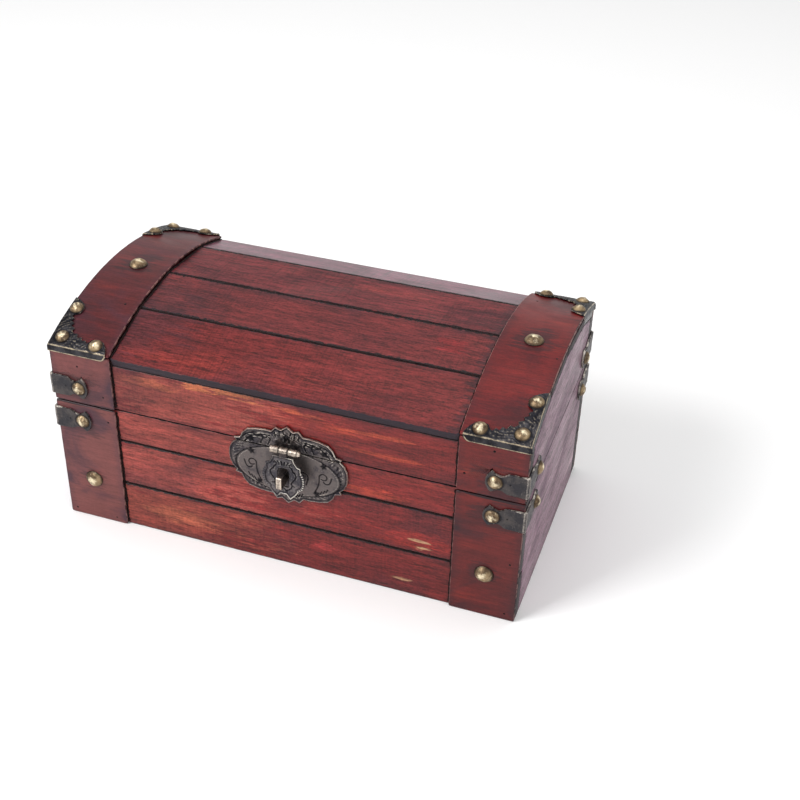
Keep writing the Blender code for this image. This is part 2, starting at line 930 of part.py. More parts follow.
def leaf_mesh(name, up, spans):
    """A leaf about the hinge pin, cut away over the x spans of the other leaf's knuckles."""
    blank = sheet_mesh(
        name, knuckle_loops(rear_knuckle_radius, sheet, rear_leaf_height), rear_hinge_width
    )
    blank = moved(blank, facing(Z * up, Y).to_4x4())
    cuts = []
    for x_low, x_high in spans:
        z_low, z_high = sorted((-up * (rear_clear + overrun), up * rear_clear))
        cuts.append(
            block_mesh("cut", (x_low, -rear_clear - overrun, z_low), (x_high, rear_clear, z_high))
        )
    blank = combined(blank, cuts, "DIFFERENCE")
    nail_z = up * rear_nail_share * rear_leaf_height
    nails = [
        moved(nail, Matrix.Translation((x, sheet - rear_knuckle_radius, nail_z)) @ into_back)
        for x in (-rear_third, rear_third)
    ]
    return smooth(combined(blank, nails, "UNION"))


middle_span = [(-rear_third / 2 - fit_gap, rear_third / 2 + fit_gap)]
outer_edge = rear_hinge_width / 2 + overrun
outer_spans = [
    (-outer_edge, -rear_third / 2),
    (rear_third / 2, outer_edge),
]
lid_leaf = leaf_mesh("lid leaf", 1, middle_span)
base_leaf = leaf_mesh("base leaf", -1, outer_spans)
rear_pin_radius = rear_knuckle_radius - sheet - fit_gap
rear_pin_profile = [
    (0, rear_hinge_width / 2),
    (rear_pin_radius, rear_hinge_width / 2),
    (rear_pin_radius, -rear_hinge_width / 2),
    (0, -rear_hinge_width / 2),
]
rear_pin = smooth(turned_mesh("rear pin", rear_pin_profile, tack_sides))
for side_name, side in sides:
    place = (side * rear_hinge_x, rear_axis_y, split_height)
    part(f"rear_hinge_{side_name}_lid_leaf", lid_leaf.copy(), brass, lid, place)
    part(f"rear_hinge_{side_name}_base_leaf", base_leaf.copy(), brass, None, place)
    part(
        f"rear_hinge_{side_name}_pin",
        rear_pin.copy(),
        brass,
        None,
        place,
        Matrix.Rotation(pi / 2, 3, "Y"),
    )
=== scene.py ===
"""Looks of a small domed wooden chest with planked walls, corner metal and a hasp.

Metres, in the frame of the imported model: X along the front, Y from front to back, Z up.
"""

import bmesh
import bpy
import numpy as np
from mathutils import Matrix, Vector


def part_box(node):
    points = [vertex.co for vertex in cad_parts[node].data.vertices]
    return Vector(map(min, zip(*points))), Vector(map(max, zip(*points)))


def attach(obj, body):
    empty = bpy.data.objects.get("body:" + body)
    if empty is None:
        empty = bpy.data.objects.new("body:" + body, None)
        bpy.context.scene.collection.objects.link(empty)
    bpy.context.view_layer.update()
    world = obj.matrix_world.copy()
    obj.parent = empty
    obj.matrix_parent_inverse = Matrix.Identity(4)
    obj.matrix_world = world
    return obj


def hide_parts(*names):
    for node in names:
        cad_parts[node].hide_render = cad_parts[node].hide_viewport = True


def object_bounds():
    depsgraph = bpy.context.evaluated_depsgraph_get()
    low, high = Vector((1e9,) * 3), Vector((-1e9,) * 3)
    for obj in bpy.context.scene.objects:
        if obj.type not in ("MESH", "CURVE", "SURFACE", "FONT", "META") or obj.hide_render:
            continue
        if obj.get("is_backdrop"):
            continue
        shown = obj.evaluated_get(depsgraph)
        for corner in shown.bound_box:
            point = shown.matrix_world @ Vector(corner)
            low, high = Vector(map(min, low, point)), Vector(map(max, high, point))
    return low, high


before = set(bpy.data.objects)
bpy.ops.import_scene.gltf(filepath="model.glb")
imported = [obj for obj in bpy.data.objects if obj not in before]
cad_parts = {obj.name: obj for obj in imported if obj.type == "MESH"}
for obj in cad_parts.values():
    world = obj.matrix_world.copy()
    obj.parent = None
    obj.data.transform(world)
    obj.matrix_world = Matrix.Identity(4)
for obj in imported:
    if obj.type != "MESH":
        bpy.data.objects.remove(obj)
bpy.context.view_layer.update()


# ---- Wall planks: three sawn softwood boards, one above the other, in front and behind.
# They are wiped with red stain, lacquered, and painted black along their edges.


def ripple(points, seed, wave, waves=14):
    """A smooth random height of about -1 to 1 at each point, flat or solid.

    It is the sum of sines that run in seeded directions, with lengths from half
    to twice the given wave, divided by the root of how many there are.
    """
    random = np.random.default_rng(seed)
    directions = random.normal(size=(waves, 3))
    directions /= np.linalg.norm(directions, axis=1)[:, None]
    directions /= (wave * 2 ** random.uniform(-1, 1, waves))[:, None]
    phases = random.uniform(0, 2 * np.pi, waves)
    turns = points @ directions[:, :points.shape[-1]].T * 2 * np.pi + phases
    return np.sin(turns).sum(axis=-1) / np.sqrt(waves)


def hump(distance, width, power=2):
    """1 at no distance, falling to 0 within a few widths, and more abruptly by a higher power."""
    return np.exp(-((distance / width) ** power))


def grow(value, start, over):
    """0 up to a start, growing evenly to 1 over a stretch beyond it."""
    return np.clip((value - start) / over, 0, 1)


def skin(name, rings, marks=None, sharp=50):
    """A closed mesh over rings of points that each go once round the piece.

    The first and the last ring lie on a point or on a line there and back, so that
    merging their points closes the skin. Marks are values at the first rings and
    the first points of each, and 0 elsewhere.
    """
    count, around = rings.shape[:2]
    index = np.arange(count * around).reshape(count, around)
    ahead = np.roll(index, -1, axis=1)
    quads = np.stack((index[:-1], ahead[:-1], ahead[1:], index[1:]), axis=-1)
    mesh = bpy.data.meshes.new(name)
    mesh.from_pydata(rings.reshape(-1, 3).tolist(), [], quads.reshape(-1, 4).tolist())
    for mark, values in (marks or {}).items():
        whole = np.zeros((count, around), np.float32)
        whole[:values.shape[0], :values.shape[1]] = values
        mesh.attributes.new(mark, "FLOAT", "POINT").data.foreach_set("value", whole.ravel())
    shape = bmesh.new()
    shape.from_mesh(mesh)
    bmesh.ops.remove_doubles(shape, verts=shape.verts, dist=2e-6)
    bmesh.ops.recalc_face_normals(shape, faces=shape.faces)
    shape.to_mesh(mesh)
    shape.free()
    mesh.shade_smooth()
    mesh.set_sharp_from_angle(angle=np.radians(sharp))
    return mesh


def piece(name, mesh, material, body, nodes=()):
    """A finished piece that rides on a body and stands for some nodes of the frame."""
    item = bpy.data.objects.new(name, mesh)
    bpy.context.scene.collection.objects.link(item)
    mesh.materials.append(material)
    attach(item, body)
    if nodes:
        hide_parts(*nodes)


half_length = 0.110
board_step = 0.0013
board_round = 0.0004
board_insets = (0.0050, 0.0028, 0.0016, 0.0010, 0.0006)
end_margin = 0.0030


def board_rings(length, width, thickness, seed, rough=0.00005, corner=0.0006):
    """Rings over a board about its middle, in (length, width, out) coordinates.

    Each ring is the board's rectangular outline drawn in by an inset: from a line
    along the middle of the outer face out to its edge, round a quarter circle to
    the side, and in again over the inner face. The outline wanders by a ripple
    that fades with the inset, and the faces swell by a longer one. The inset comes
    back as a mark, with a margin added at the short ends, which get no edge paint.
    """
    half = np.array((length, width)) / 2
    deep = thickness / 2
    longs, shorts = (np.linspace(-end, end, int(2 * end / board_step) + 2) for end in half)
    sides = (
        (longs, 0 * longs - half[1]), (0 * shorts + half[0], shorts),
        (longs[::-1], 0 * longs + half[1]), (0 * shorts - half[0], shorts[::-1]),
    )
    outline = np.concatenate([np.stack(side, 1)[:-1] for side in sides])
    core = np.clip(outline, corner - half, half - corner)
    away = outline - core
    away /= np.linalg.norm(away, axis=1)[:, None]
    outline = core + corner * away
    quarter = np.linspace(0, np.pi / 2, 4)
    steps = [inset for inset in board_insets if inset < half[1]]
    inset = np.r_[half[1], steps, board_round * (1 - np.sin(quarter)), 0]
    height = np.r_[np.full(len(steps) + 1, deep), deep - board_round * (1 - np.cos(quarter)), 0]
    inset, height = np.r_[inset, inset[-2::-1]], np.r_[height, -height[-2::-1]]
    drawn = np.maximum(half - inset[:, None], (half[0] - half[1], 0))
    flat = outline * (drawn / half)[:, None]
    tall = np.broadcast_to(height[:, None, None], (*flat.shape[:2], 1))
    rings = np.concatenate((flat, tall), axis=2)
    fade = hump(inset, 0.0008, 1)[:, None]
    rings[..., :2] += (rough * ripple(rings, seed, 0.0035) * fade)[..., None] * away
    swell = 0.00004 * ripple(rings * (0.4, 1, 0), seed + 1, 0.022)
    rings[..., 2] += swell * np.sign(rings[..., 2]) * (1 - fade)
    return rings, inset[:, None] + end_margin * np.abs(away[:, 0])


def laid(rings, axes, middle):
    """Rings turned from (length, width, out) onto three directions, about a place."""
    return rings @ np.array(axes, float) + np.array(middle, float)


class Wire:
    """A value on its way through a shader tree, with the sums and products of plain numbers."""

    def __init__(self, socket):
        self.socket, self.tree = socket, socket.id_data

    def maths(self, operation, first, second):
        return node(self.tree, "ShaderNodeMath", {"operation": operation}, i0=first, i1=second)

    def __add__(self, other):
        return self.maths("ADD", self, other)

    def __sub__(self, other):
        return self.maths("SUBTRACT", self, other)

    def __rsub__(self, other):
        return self.maths("SUBTRACT", other, self)

    def __mul__(self, other):
        return self.maths("MULTIPLY", self, other)

    def most(self, other):
        """The greater of the two."""
        return self.maths("MAXIMUM", self, other)

    def ramp(self, low, high, to_low=0.0, to_high=1.0):
        """The value carried smoothly from one range to another."""
        return node(self.tree, "ShaderNodeMapRange", {"interpolation_type": "SMOOTHSTEP"},
                    i0=self, i1=low, i2=high, i3=to_low, i4=to_high)

    def mix(self, first, second):
        """The second colour laid over the first, by this share."""
        return node(self.tree, "ShaderNodeMix", {"data_type": "RGBA"}, 2, i0=self, i6=first, i7=second)


def node(tree, kind, settings=None, out=0, **inputs):
    """One output of a new shader node; its inputs, by name or number, are values or wires."""
    made = tree.nodes.new(kind)
    for key, value in (settings or {}).items():
        setattr(made, key, value)
    for key, value in inputs.items():
        socket = made.inputs[int(key[1:]) if key[1:].isdigit() else key.replace("_", " ")]
        if isinstance(value, Wire):
            tree.links.new(value.socket, socket)
        else:
            socket.default_value = value
    return Wire(made.outputs[out])


def vectors(operation, first, second=(0, 0, 0), out=0):
    """The result of a vector math node."""
    return node(first.tree, "ShaderNodeVectorMath", {"operation": operation}, out, i0=first, i1=second)


def noise(place, scale, detail=3.0, rough=0.5, bend=0.0):
    """Noise over a place that is first stretched by a scale for each axis."""
    return node(place.tree, "ShaderNodeTexNoise", Vector=vectors("MULTIPLY", place, scale), Scale=1.0,
                Detail=detail, Roughness=rough, Distortion=bend)


def ports(sockets):
    """Wires from sockets, by their names."""
    return {socket.name: Wire(socket) for socket in sockets if socket.name}


def feed(sockets, **wires):
    """Sockets, by their names, linked to wires."""
    for label, wire in wires.items():
        wire.tree.links.new(wire.socket, sockets[label.replace("_", " ")])


def group(name, values=(), colours=()):
    """A shader group that takes a place, values and colours and gives the look of a surface."""
    tree = bpy.data.node_groups.new(name, "ShaderNodeTree")
    sockets = [("Place", "INPUT", "Vector"), *((label, "INPUT", "Float") for label in values),
               *((label, "INPUT", "Color") for label in colours),
               ("Color", "OUTPUT", "Color"), ("Roughness", "OUTPUT", "Float"), ("Height", "OUTPUT", "Float")]
    for label, way, kind in sockets:
        tree.interface.new_socket(label, in_out=way, socket_type="NodeSocket" + kind)
    return tree, ports(tree.nodes.new("NodeGroupInput").outputs), tree.nodes.new("NodeGroupOutput").inputs


def stained_grain():
    """Red stain over wood grain: streaks along the grain, clouds, fibres, saw marks and pores.

    The stain goes from deep to bright with the streaks, to smoke in the clouds and
    towards a board's edge, and to black paint or to worn wood where the way in from
    that edge is very short.
    """
    tree, ins, outs = group(
        "stained grain",
        ("Inset", "Smoky", "Fiery", "Grain", "Sawn", "Paint width", "Edge wear", "Painted end"),
        ("Deep", "Bright", "Flame", "Smoke", "Edge tone"),
    )
    place = ins["Place"]
    streak = noise(place, (15, 115, 115), 6, 0.62, 0.4)
    wide = noise(place, (12, 70, 70), 3, 0.55, 1.2)
    cloud = noise(place, (26, 38, 38), 4, 0.6, 0.8)
    thread = noise(place, (55, 520, 520), 4, 0.68, 0.3)
    fibre = noise(place, (150, 1250, 1250), 4, 0.7)
    pore = noise(place, (260, 3000, 3000), 1)
    mottle = noise(place, (900, 1100, 1100), 3, 0.7)
    saw = noise(place, (1300, 14, 14), 2)
    sawn = noise(place, (24, 30, 30), 2)
    ragged = noise(place, (420, 480, 480), 5, 0.7)
    chip = noise(place, (150, 300, 300), 4, 0.65)
    colour = streak.ramp(0.30, 0.71).mix(ins["Deep"], ins["Bright"])
    flame = streak.ramp(0.50, 0.66) * wide.ramp(0.50, 0.70)
    colour = (flame * ins["Fiery"]).mix(colour, ins["Flame"])
    dusk = cloud.ramp(0.44, 0.72) + ins["Inset"].ramp(0.0045, 0, 0, 0.45)
    colour = (dusk * ins["Smoky"]).mix(colour, ins["Smoke"])
    shade = fibre.ramp(0.30, 0.70, -0.34, 0.34) + thread.ramp(0.30, 0.70, -0.26, 0.22)
    shade = shade + mottle.ramp(0.30, 0.70, -0.22, 0.22) - pore.ramp(0.62, 0.74, 0, 0.40)
    cuts = saw.ramp(0.50, 0.62) * sawn.ramp(0.44, 0.60)
    shade = (shade * ins["Grain"] + 0.98) * (1 - cuts * ins["Sawn"])
    colour = node(tree, "ShaderNodeVectorMath", {"operation": "SCALE"}, i0=colour, Scale=shade)
    reach = ragged.ramp(0.34, 0.68, 0.25, 1.9) * ins["Paint width"]
    paint = (reach - ins["Inset"]).ramp(-0.00012, 0.00012).most(ins["Painted end"])
    # The black edge paint is flecked with a paler violet grey: partly dust, partly a painted sheen.
    dust_and_sheen = thread.ramp(0.50, 0.75, 0, 0.6).mix(ins["Edge tone"], (0.055, 0.034, 0.048, 1))
    colour = paint.mix(colour, dust_and_sheen)
    worn = ins["Inset"].ramp(0.00042, 0.00018) * chip.ramp(0.40, 0.60)
    colour = (worn * ins["Edge wear"]).mix(colour, (0.30, 0.145, 0.130, 1))
    lumps = noise(place, (900, 1500, 1500), 2) * (paint * 1.4)
    feed(outs, Color=colour, Roughness=cloud.ramp(0.3, 0.7, 0.34, 0.48) + paint * 0.15,
         Height=fibre * 0.45 + pore * -0.25 + lumps)
    return tree


def bare_grain():
    """Bare pine: pale early wood and browner late wood in long bands, with fine fibres."""
    tree, ins, outs = group("bare grain")
    ring = noise(ins["Place"], (5, 110, 110), 4, 0.55, 0.5)
    fibre = noise(ins["Place"], (60, 1300, 1300), 3, 0.6)
    colour = ring.ramp(0.42, 0.60).mix((0.56, 0.37, 0.20, 1), (0.40, 0.22, 0.10, 1))
    colour = fibre.ramp(0.35, 0.75, 0.0, 0.35).mix(colour, (0.30, 0.16, 0.08, 1))
    feed(outs, Color=colour, Roughness=fibre.ramp(0.3, 0.7, 0.62, 0.78), Height=fibre)
    return tree


stain_group = stained_grain()
bare_group = bare_grain()


def blank(name):
    """A new material with its shader and its Object coordinates."""
    material = bpy.data.materials.new(name)
    material.use_nodes = True
    tree = material.node_tree
    return material, tree.nodes["Principled BSDF"], node(tree, "ShaderNodeTexCoord", out="Object")


def mark(tree, name):
    """A mark that is kept on the mesh."""
    return node(tree, "ShaderNodeAttribute", {"attribute_name": name}, "Fac")


def grouped(tree, shared, **inputs):
    """The outputs, by name, of a shared group at work in a tree."""
    return ports(node(tree, "ShaderNodeGroup", {"node_tree": shared}, **inputs).socket.node.outputs)


def dress(shader, colour, rough, height, depth, strength=0.5):
    """A shader given its colour and roughness, and a height as bumps of a depth."""
    bump = node(height.tree, "ShaderNodeBump", Height=height, Distance=depth, Strength=strength)
    feed(shader.inputs, Base_Color=colour, Roughness=rough, Normal=bump)


def spot(position, centre, size, seed):
    """1 inside a spot of the given size, 0 outside, with an edge that follows the grain."""
    scaled = vectors("DIVIDE", vectors("SUBTRACT", position, centre), size)
    rough = noise(vectors("ADD", position, (seed, 0, 0)), (60, 420, 420), 4, 0.7)
    return (vectors("LENGTH", scaled, out="Value") + rough.ramp(0.2, 0.8, -0.9, 0.9)).ramp(1.1, 0.55)


def stained_wood(name, seed, grain=(0, 0, 0), deep=(0.108, 0.010, 0.010), bright=(0.198, 0.018, 0.016),
                 flame=(0.36, 0.050, 0.022), smoke=(0.048, 0.013, 0.018), smoky=0.5, fiery=0.5,
                 figure=1.0, sawn=0.15, paint=0.0004, edge=(0.009, 0.004, 0.005), wear=0.0, coat=0.10,
                 shine=0.24, spots=()):
    """Stained and lacquered wood; inner faces, marked so on the mesh, are bare.

    Each spot changes the stain's deep and bright tones, so that the grain runs on
    through it.
    """
    material, shader, position = blank(name)
    tree = position.tree
    shift = np.random.default_rng(seed).uniform(-3, 3, 3)
    place = node(tree, "ShaderNodeMapping", Vector=position, Rotation=grain, Location=tuple(shift))
    dark_tone, light_tone = (*deep, 1), (*bright, 1)
    for number, (centre, size, tone, strength) in enumerate(spots):
        share = spot(position, centre, size, seed + number) * strength
        dark_tone = share.mix(dark_tone, (*(0.72 * np.array(tone)), 1))
        light_tone = share.mix(light_tone, (*(1.18 * np.array(tone)), 1))
    stain = grouped(
        tree, stain_group, Place=place, Inset=mark(tree, "inset"), Painted_end=mark(tree, "flush"),
        Deep=dark_tone, Bright=light_tone, Flame=(*flame, 1), Smoke=(*smoke, 1), Edge_tone=(*edge, 1),
        Smoky=smoky, Fiery=fiery, Grain=figure, Sawn=sawn, Paint_width=paint, Edge_wear=wear,
    )
    bare = grouped(tree, bare_group, Place=place)
    inside = mark(tree, "inner") * noise(place, (40, 300, 300), 4, 0.6).ramp(0.26, 0.34)
    rough = node(tree, "ShaderNodeMix", i0=inside, i2=stain["Roughness"], i3=bare["Roughness"])
    dress(shader, inside.mix(stain["Color"], bare["Color"]), rough, stain["Height"], 0.00006)
    feed(shader.inputs, Coat_Weight=(1 - inside) * coat)
    shader.inputs["Coat Roughness"].default_value = 0.20
    shader.inputs["Specular IOR Level"].default_value = shine
    return material


def wooden(name, body, seed, board, points, tone, bare=True, ends=True):
    """A finished piece of stained wood, from a board's rings and insets and its points as laid.

    Its broad inner face is marked bare, short of the ends of the chest, and what lies
    at the left or right end of the chest is marked flush, and painted dark there.
    """
    rings, inset = board
    along = np.abs(points[..., 0])
    marks = {"inset": inset}
    if bare:
        marks["inner"] = (rings[..., 2] < 0.9 * rings[..., 2].min()) & (along < half_length - 0.004)
    if ends:
        marks["flush"] = grow(along, half_length - 0.0006, 0.0004)
    mesh = skin(name + "_wood", points, marks)
    piece(name + "_wood", mesh, stained_wood(name, seed, **tone), body, [name])


along_x, along_y, along_z = np.eye(3)
front_y = -0.0585


def patch(x, z, length, height, tone, strength):
    """A spot of another tone on the front of the chest."""
    return (x, front_y, z), (length, 0.01, height), tone, strength


# The broad paler, greyer spot at the left of each front plank is a painted sheen on the side the light falls
# from.
plank_tones = {
    ("front", "low"): dict(spots=(
        patch(-0.060, 0.013, 0.055, 0.020, (0.33, 0.064, 0.040), 0.60),
        patch(-0.052, 0.012, 0.016, 0.005, (0.46, 0.120, 0.060), 0.55),
        patch(0.0564, 0.0077, 0.0040, 0.0008, (0.60, 0.34, 0.18), 0.9),
        patch(0.020, 0.015, 0.006, 0.002, (0.46, 0.045, 0.045), 0.50),
        patch(0.045, 0.012, 0.030, 0.010, (0.125, 0.009, 0.010), 0.35),
    )),
    ("front", "mid"): dict(bright=(0.215, 0.018, 0.016), deep=(0.120, 0.010, 0.010), spots=(
        patch(-0.060, 0.037, 0.060, 0.020, (0.38, 0.074, 0.056), 0.60),
        patch(0.063, 0.0325, 0.018, 0.0045, (0.44, 0.030, 0.018), 0.55),
        patch(0.0664, 0.0284, 0.0040, 0.0012, (0.62, 0.38, 0.20), 0.95),
        patch(0.0655, 0.0318, 0.0040, 0.0006, (0.62, 0.38, 0.20), 0.80),
    )),
    ("front", "top"): dict(paint=0.00012, spots=(
        patch(-0.055, 0.058, 0.060, 0.020, (0.33, 0.062, 0.046), 0.60),
        patch(0.036, 0.053, 0.022, 0.003, (0.42, 0.050, 0.022), 0.50),
    )),
}
wall_faces = (("front", -1), ("back", 1))
for face, outward in wall_faces:
    for level in ("low", "mid", "top"):
        name = f"base_{face}_plank_{level}"
        low, high = np.array(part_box(name))
        seed = 10 + 7 * len(bpy.data.materials)
        board = board_rings(*(high - low)[[0, 2, 1]], seed)
        points = laid(board[0], (along_x, along_z, outward * along_y), (low + high) / 2)
        wooden(name, "base", seed, board, points, plank_tones.get((face, level), {}))


# ---- Ends and bottom of the base: solid boards butted between the walls and nailed.
# The ends' pale violet grey is the red stain with a painted sheen laid into it, as the bright room shows in it
# at a grazing angle, and the bottom is bare pine inside.

end_tone = dict(grain=(0, 0, np.pi / 2), deep=(0.165, 0.088, 0.122), bright=(0.300, 0.182, 0.228),
                flame=(0.380, 0.260, 0.290), smoke=(0.085, 0.042, 0.075), figure=1.3, sawn=0.1,
                paint=0.00015, coat=0.05, shine=0.10)
end_sides = (("left", -1), ("right", 1))
for side, hand in end_sides:
    name = f"base_end_{side}"
    low, high = np.array(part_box(name))
    board = board_rings(*(high - low)[[1, 2, 0]], 210 + hand)
    points = laid(board[0], (along_y, along_z, hand * along_x), (low + high) / 2)
    wooden(name, "base", 210 + hand, board, points, end_tone, ends=False)

low, high = np.array(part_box("base_bottom"))
rings, inset = board_rings(*(high - low), 230)
points = laid(rings, (along_x, along_y, -along_z), (low + high) / 2)
bottom_mesh = skin("base_bottom_wood", points, {"inset": inset, "inner": np.ones_like(inset)})
piece("base_bottom_wood", bottom_mesh, stained_wood("base_bottom", 231), "base", ["base_bottom"])


# ---- Lid: two ends cut to the dome, a board in front and one behind, and four slats.
# The slats lie flat on the ends, and the front and back boards are planed to meet them.

half_depth = 0.060
eaves_height = 0.095
dome_rise = 0.012
band_thickness = 0.0012
slat_thickness = 0.004
seat = 0.0003
dome_radius = (half_depth**2 + dome_rise**2) / (2 * dome_rise)
dome_centre = eaves_height + dome_rise - dome_radius
half_angle = np.arcsin(half_depth / dome_radius)
slat_radius = dome_radius - band_thickness - seat
slat_edges = (2 * np.array((0, 0.265, 0.51, 0.80, 1)) - 1) * half_angle
slat_middles = (slat_edges[1:] + slat_edges[:-1]) / 2
slat_depths = slat_radius * np.cos((slat_edges[1:] - slat_edges[:-1]) / 2)


def slat_plane(y, depth):
    """The height of a surface so deep under the slats' faces: the lowest of the four planes."""
    planes = (slat_depths - depth - np.asarray(y)[..., None] * np.sin(slat_middles)) / np.cos(slat_middles)
    return dome_centre + planes.min(axis=-1)


def planed(points, top):
    """Points with the upper edge of their board moved up or down to lie under the slats.

    The shift is the whole of the difference within 6 mm of the edge and fades below it.
    """
    share = grow(points[..., 2], top - 0.018, 0.012)
    shift = slat_plane(points[..., 1], slat_thickness + seat) - top
    points[..., 2] += shift * share**2 * (3 - 2 * share)
    return points


def on_dome(x, angle, radius):
    """A place at x on an arc about the dome's axis, so far round from its crown, and the
    directions along the arc and out of it."""
    along, out = np.array(((0, np.cos(angle), -np.sin(angle)), (0, np.sin(angle), np.cos(angle))))
    return np.array((x, 0, dome_centre)) + radius * out, along, out


for side, hand in end_sides:
    name = f"lid_end_{side}"
    low, high = np.array(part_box(name))
    top = slat_plane(high[1], slat_thickness + seat)
    board = board_rings(high[1] - low[1], top - low[2], high[0] - low[0], 240 + hand)
    middle = ((low[0] + high[0]) / 2, 0, (low[2] + top) / 2)
    points = planed(laid(board[0], (along_y, along_z, hand * along_x), middle), top)
    wooden(name, "lid", 240 + hand, board, points, end_tone, ends=False)

# The paler, greyer spot at the left of the lid's front board is a painted sheen on the side the light falls
# from.
board_tones = {"front": dict(paint=0.00012, spots=(
    patch(-0.050, 0.080, 0.050, 0.020, (0.32, 0.066, 0.048), 0.60),
    patch(-0.0600, 0.0850, 0.0140, 0.0022, (0.44, 0.105, 0.050), 0.70),
    patch(-0.0400, 0.0895, 0.0120, 0.0040, (0.56, 0.160, 0.060), 0.75),
    patch(-0.0190, 0.0885, 0.0150, 0.0022, (0.60, 0.180, 0.065), 0.75),
    patch(0.0060, 0.0862, 0.0120, 0.0013, (0.42, 0.085, 0.035), 0.60),
    patch(0.0450, 0.0835, 0.0220, 0.0012, (0.38, 0.060, 0.028), 0.60),
    patch(0.0500, 0.0735, 0.0200, 0.0012, (0.36, 0.050, 0.024), 0.55),
)), "back": {}}
for face, outward in wall_faces:
    name = f"lid_{face}_board"
    low, high = np.array(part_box(name))
    middle = (low + high) / 2
    top = slat_plane(middle[1], slat_thickness + seat)
    middle[2] = (low[2] + top) / 2
    board = board_rings(high[0] - low[0], top - low[2], high[1] - low[1], 260 + outward)
    points = planed(laid(board[0], (along_x, along_z, outward * along_y), middle), top)
    wooden(name, "lid", 260 + outward, board, points, board_tones[face])

groove_width = 0.0011
band_width = 0.030
# Darker spots at both ends of each slat, beside the bands, are painted shade along the bands' edges; so is the
# dark spot near the right end of the third and fourth slats.
slat_band_shade = tuple(((x, 0, 0.10), (0.0065, 0.08, 0.03), (0.035, 0.012, 0.018), 0.65)
                     for x in (-0.082, 0.082))
slat_haze = ((-0.072, -0.030, 0.10), (0.022, 0.026, 0.03), (0.060, 0.015, 0.020), 0.55)
slat_tones = (
    # The first slat's edge tone is a lighter violet grey than black: a painted sheen on its front edge.
    dict(smoky=0.55, fiery=0.25, sawn=0.20, bright=(0.178, 0.022, 0.021), deep=(0.114, 0.013, 0.013),
         figure=1.15, edge=(0.022, 0.015, 0.021), paint=0.0003, coat=0.06, shine=0.17,
         spots=(*slat_band_shade, slat_haze,
                ((-0.040, -0.050, 0.100), (0.060, 0.006, 0.03), (0.24, 0.028, 0.020), 0.3))),
    dict(smoky=0.60, fiery=0.20, sawn=0.22, bright=(0.174, 0.023, 0.023), deep=(0.108, 0.014, 0.015),
         figure=1.15, paint=0.0007, coat=0.06, shine=0.17,
         spots=(*slat_band_shade, slat_haze,
                ((0.062, -0.012, 0.106), (0.007, 0.005, 0.02), (0.26, 0.018, 0.020), 0.6))),
    dict(smoky=0.60, fiery=0.20, sawn=0.28, bright=(0.192, 0.024, 0.026), deep=(0.114, 0.014, 0.017),
         figure=1.3, paint=0.0005, coat=0.03, shine=0.10,
         spots=(*slat_band_shade,
                ((0.068, 0.015, 0.107), (0.016, 0.012, 0.02), (0.080, 0.010, 0.016), 0.6))),
    # The last slat's violet tint is a painted sheen, the bright room reflected in it at a grazing angle, laid
    # into its colour.
    dict(smoky=0.60, fiery=0.15, sawn=0.40, bright=(0.203, 0.042, 0.080), deep=(0.113, 0.025, 0.048),
         figure=1.3, coat=0.38, shine=0.32,
         spots=(((0.068, 0.045, 0.102), (0.022, 0.010, 0.02), (0.080, 0.022, 0.040), 0.6),)),
)
for number, (angle, depth, tone) in enumerate(zip(slat_middles, slat_depths, slat_tones)):
    half_chord = slat_radius * np.sin((slat_edges[number + 1] - slat_edges[number]) / 2)
    front = -half_chord + (groove_width / 2 if number else 0)
    back = half_chord - (groove_width / 2 if number < 3 else 0)
    rings, inset = board = board_rings(2 * half_length, back - front, slat_thickness, 280 + number)
    across = rings[..., 1]
    across += (front + back) / 2
    set_back = (slat_radius * np.sin(half_angle) - half_depth + band_thickness + seat) / np.cos(angle)
    set_back = set_back * (np.abs(rings[..., 0]) > half_length - band_width - seat)
    if number == 0:
        across += set_back * (across < front + 0.004)
    if number == 3:
        across -= set_back * (across > back - 0.004)
    middle, along, out = on_dome(0, angle, depth - slat_thickness / 2)
    points = laid(rings, (along_x, along, out), middle)
    wooden(f"lid_slat_{number + 1}", "lid", 280 + number, board, points, tone)


# ---- Bands: strips of thin plywood glued over the planks near both ends.
# Flat ones stand on the walls, and a long one is bent over the dome at each end.

band_tone = dict(figure=0.36, sawn=0.05, paint=0.00015)
# The left bands are given a paler, greyer stain than the right ones: a painted sheen on the side the light
# falls from.
band_tones = {
    ("base", "left"): dict(fiery=0.10, smoky=0.9, deep=(0.142, 0.040, 0.037), bright=(0.176, 0.048, 0.044),
                           smoke=(0.060, 0.022, 0.032), wear=0.6),
    ("base", "right"): dict(fiery=0.50, smoky=0.85, deep=(0.082, 0.008, 0.008), bright=(0.122, 0.010, 0.009),
                            flame=(0.26, 0.026, 0.016), smoke=(0.030, 0.009, 0.013), figure=0.45, wear=0.5),
    ("lid", "left"): dict(fiery=0.10, smoky=0.9, deep=(0.124, 0.034, 0.033), bright=(0.160, 0.043, 0.041),
                          smoke=(0.055, 0.020, 0.030), wear=0.6),
    ("lid", "right"): dict(fiery=0.60, smoky=0.7, deep=(0.092, 0.009, 0.009), bright=(0.150, 0.012, 0.010),
                           flame=(0.34, 0.040, 0.018), smoke=(0.034, 0.009, 0.013), figure=0.5, wear=0.5),
}
near_metal_dark = (0.020, 0.008, 0.011)
split_height = 0.066
strap_offset = 0.31 * (eaves_height - split_height)
band_middle = half_length - band_width / 2
low_tack_height = 0.0237
bodies = (("base", -1), ("lid", 1))
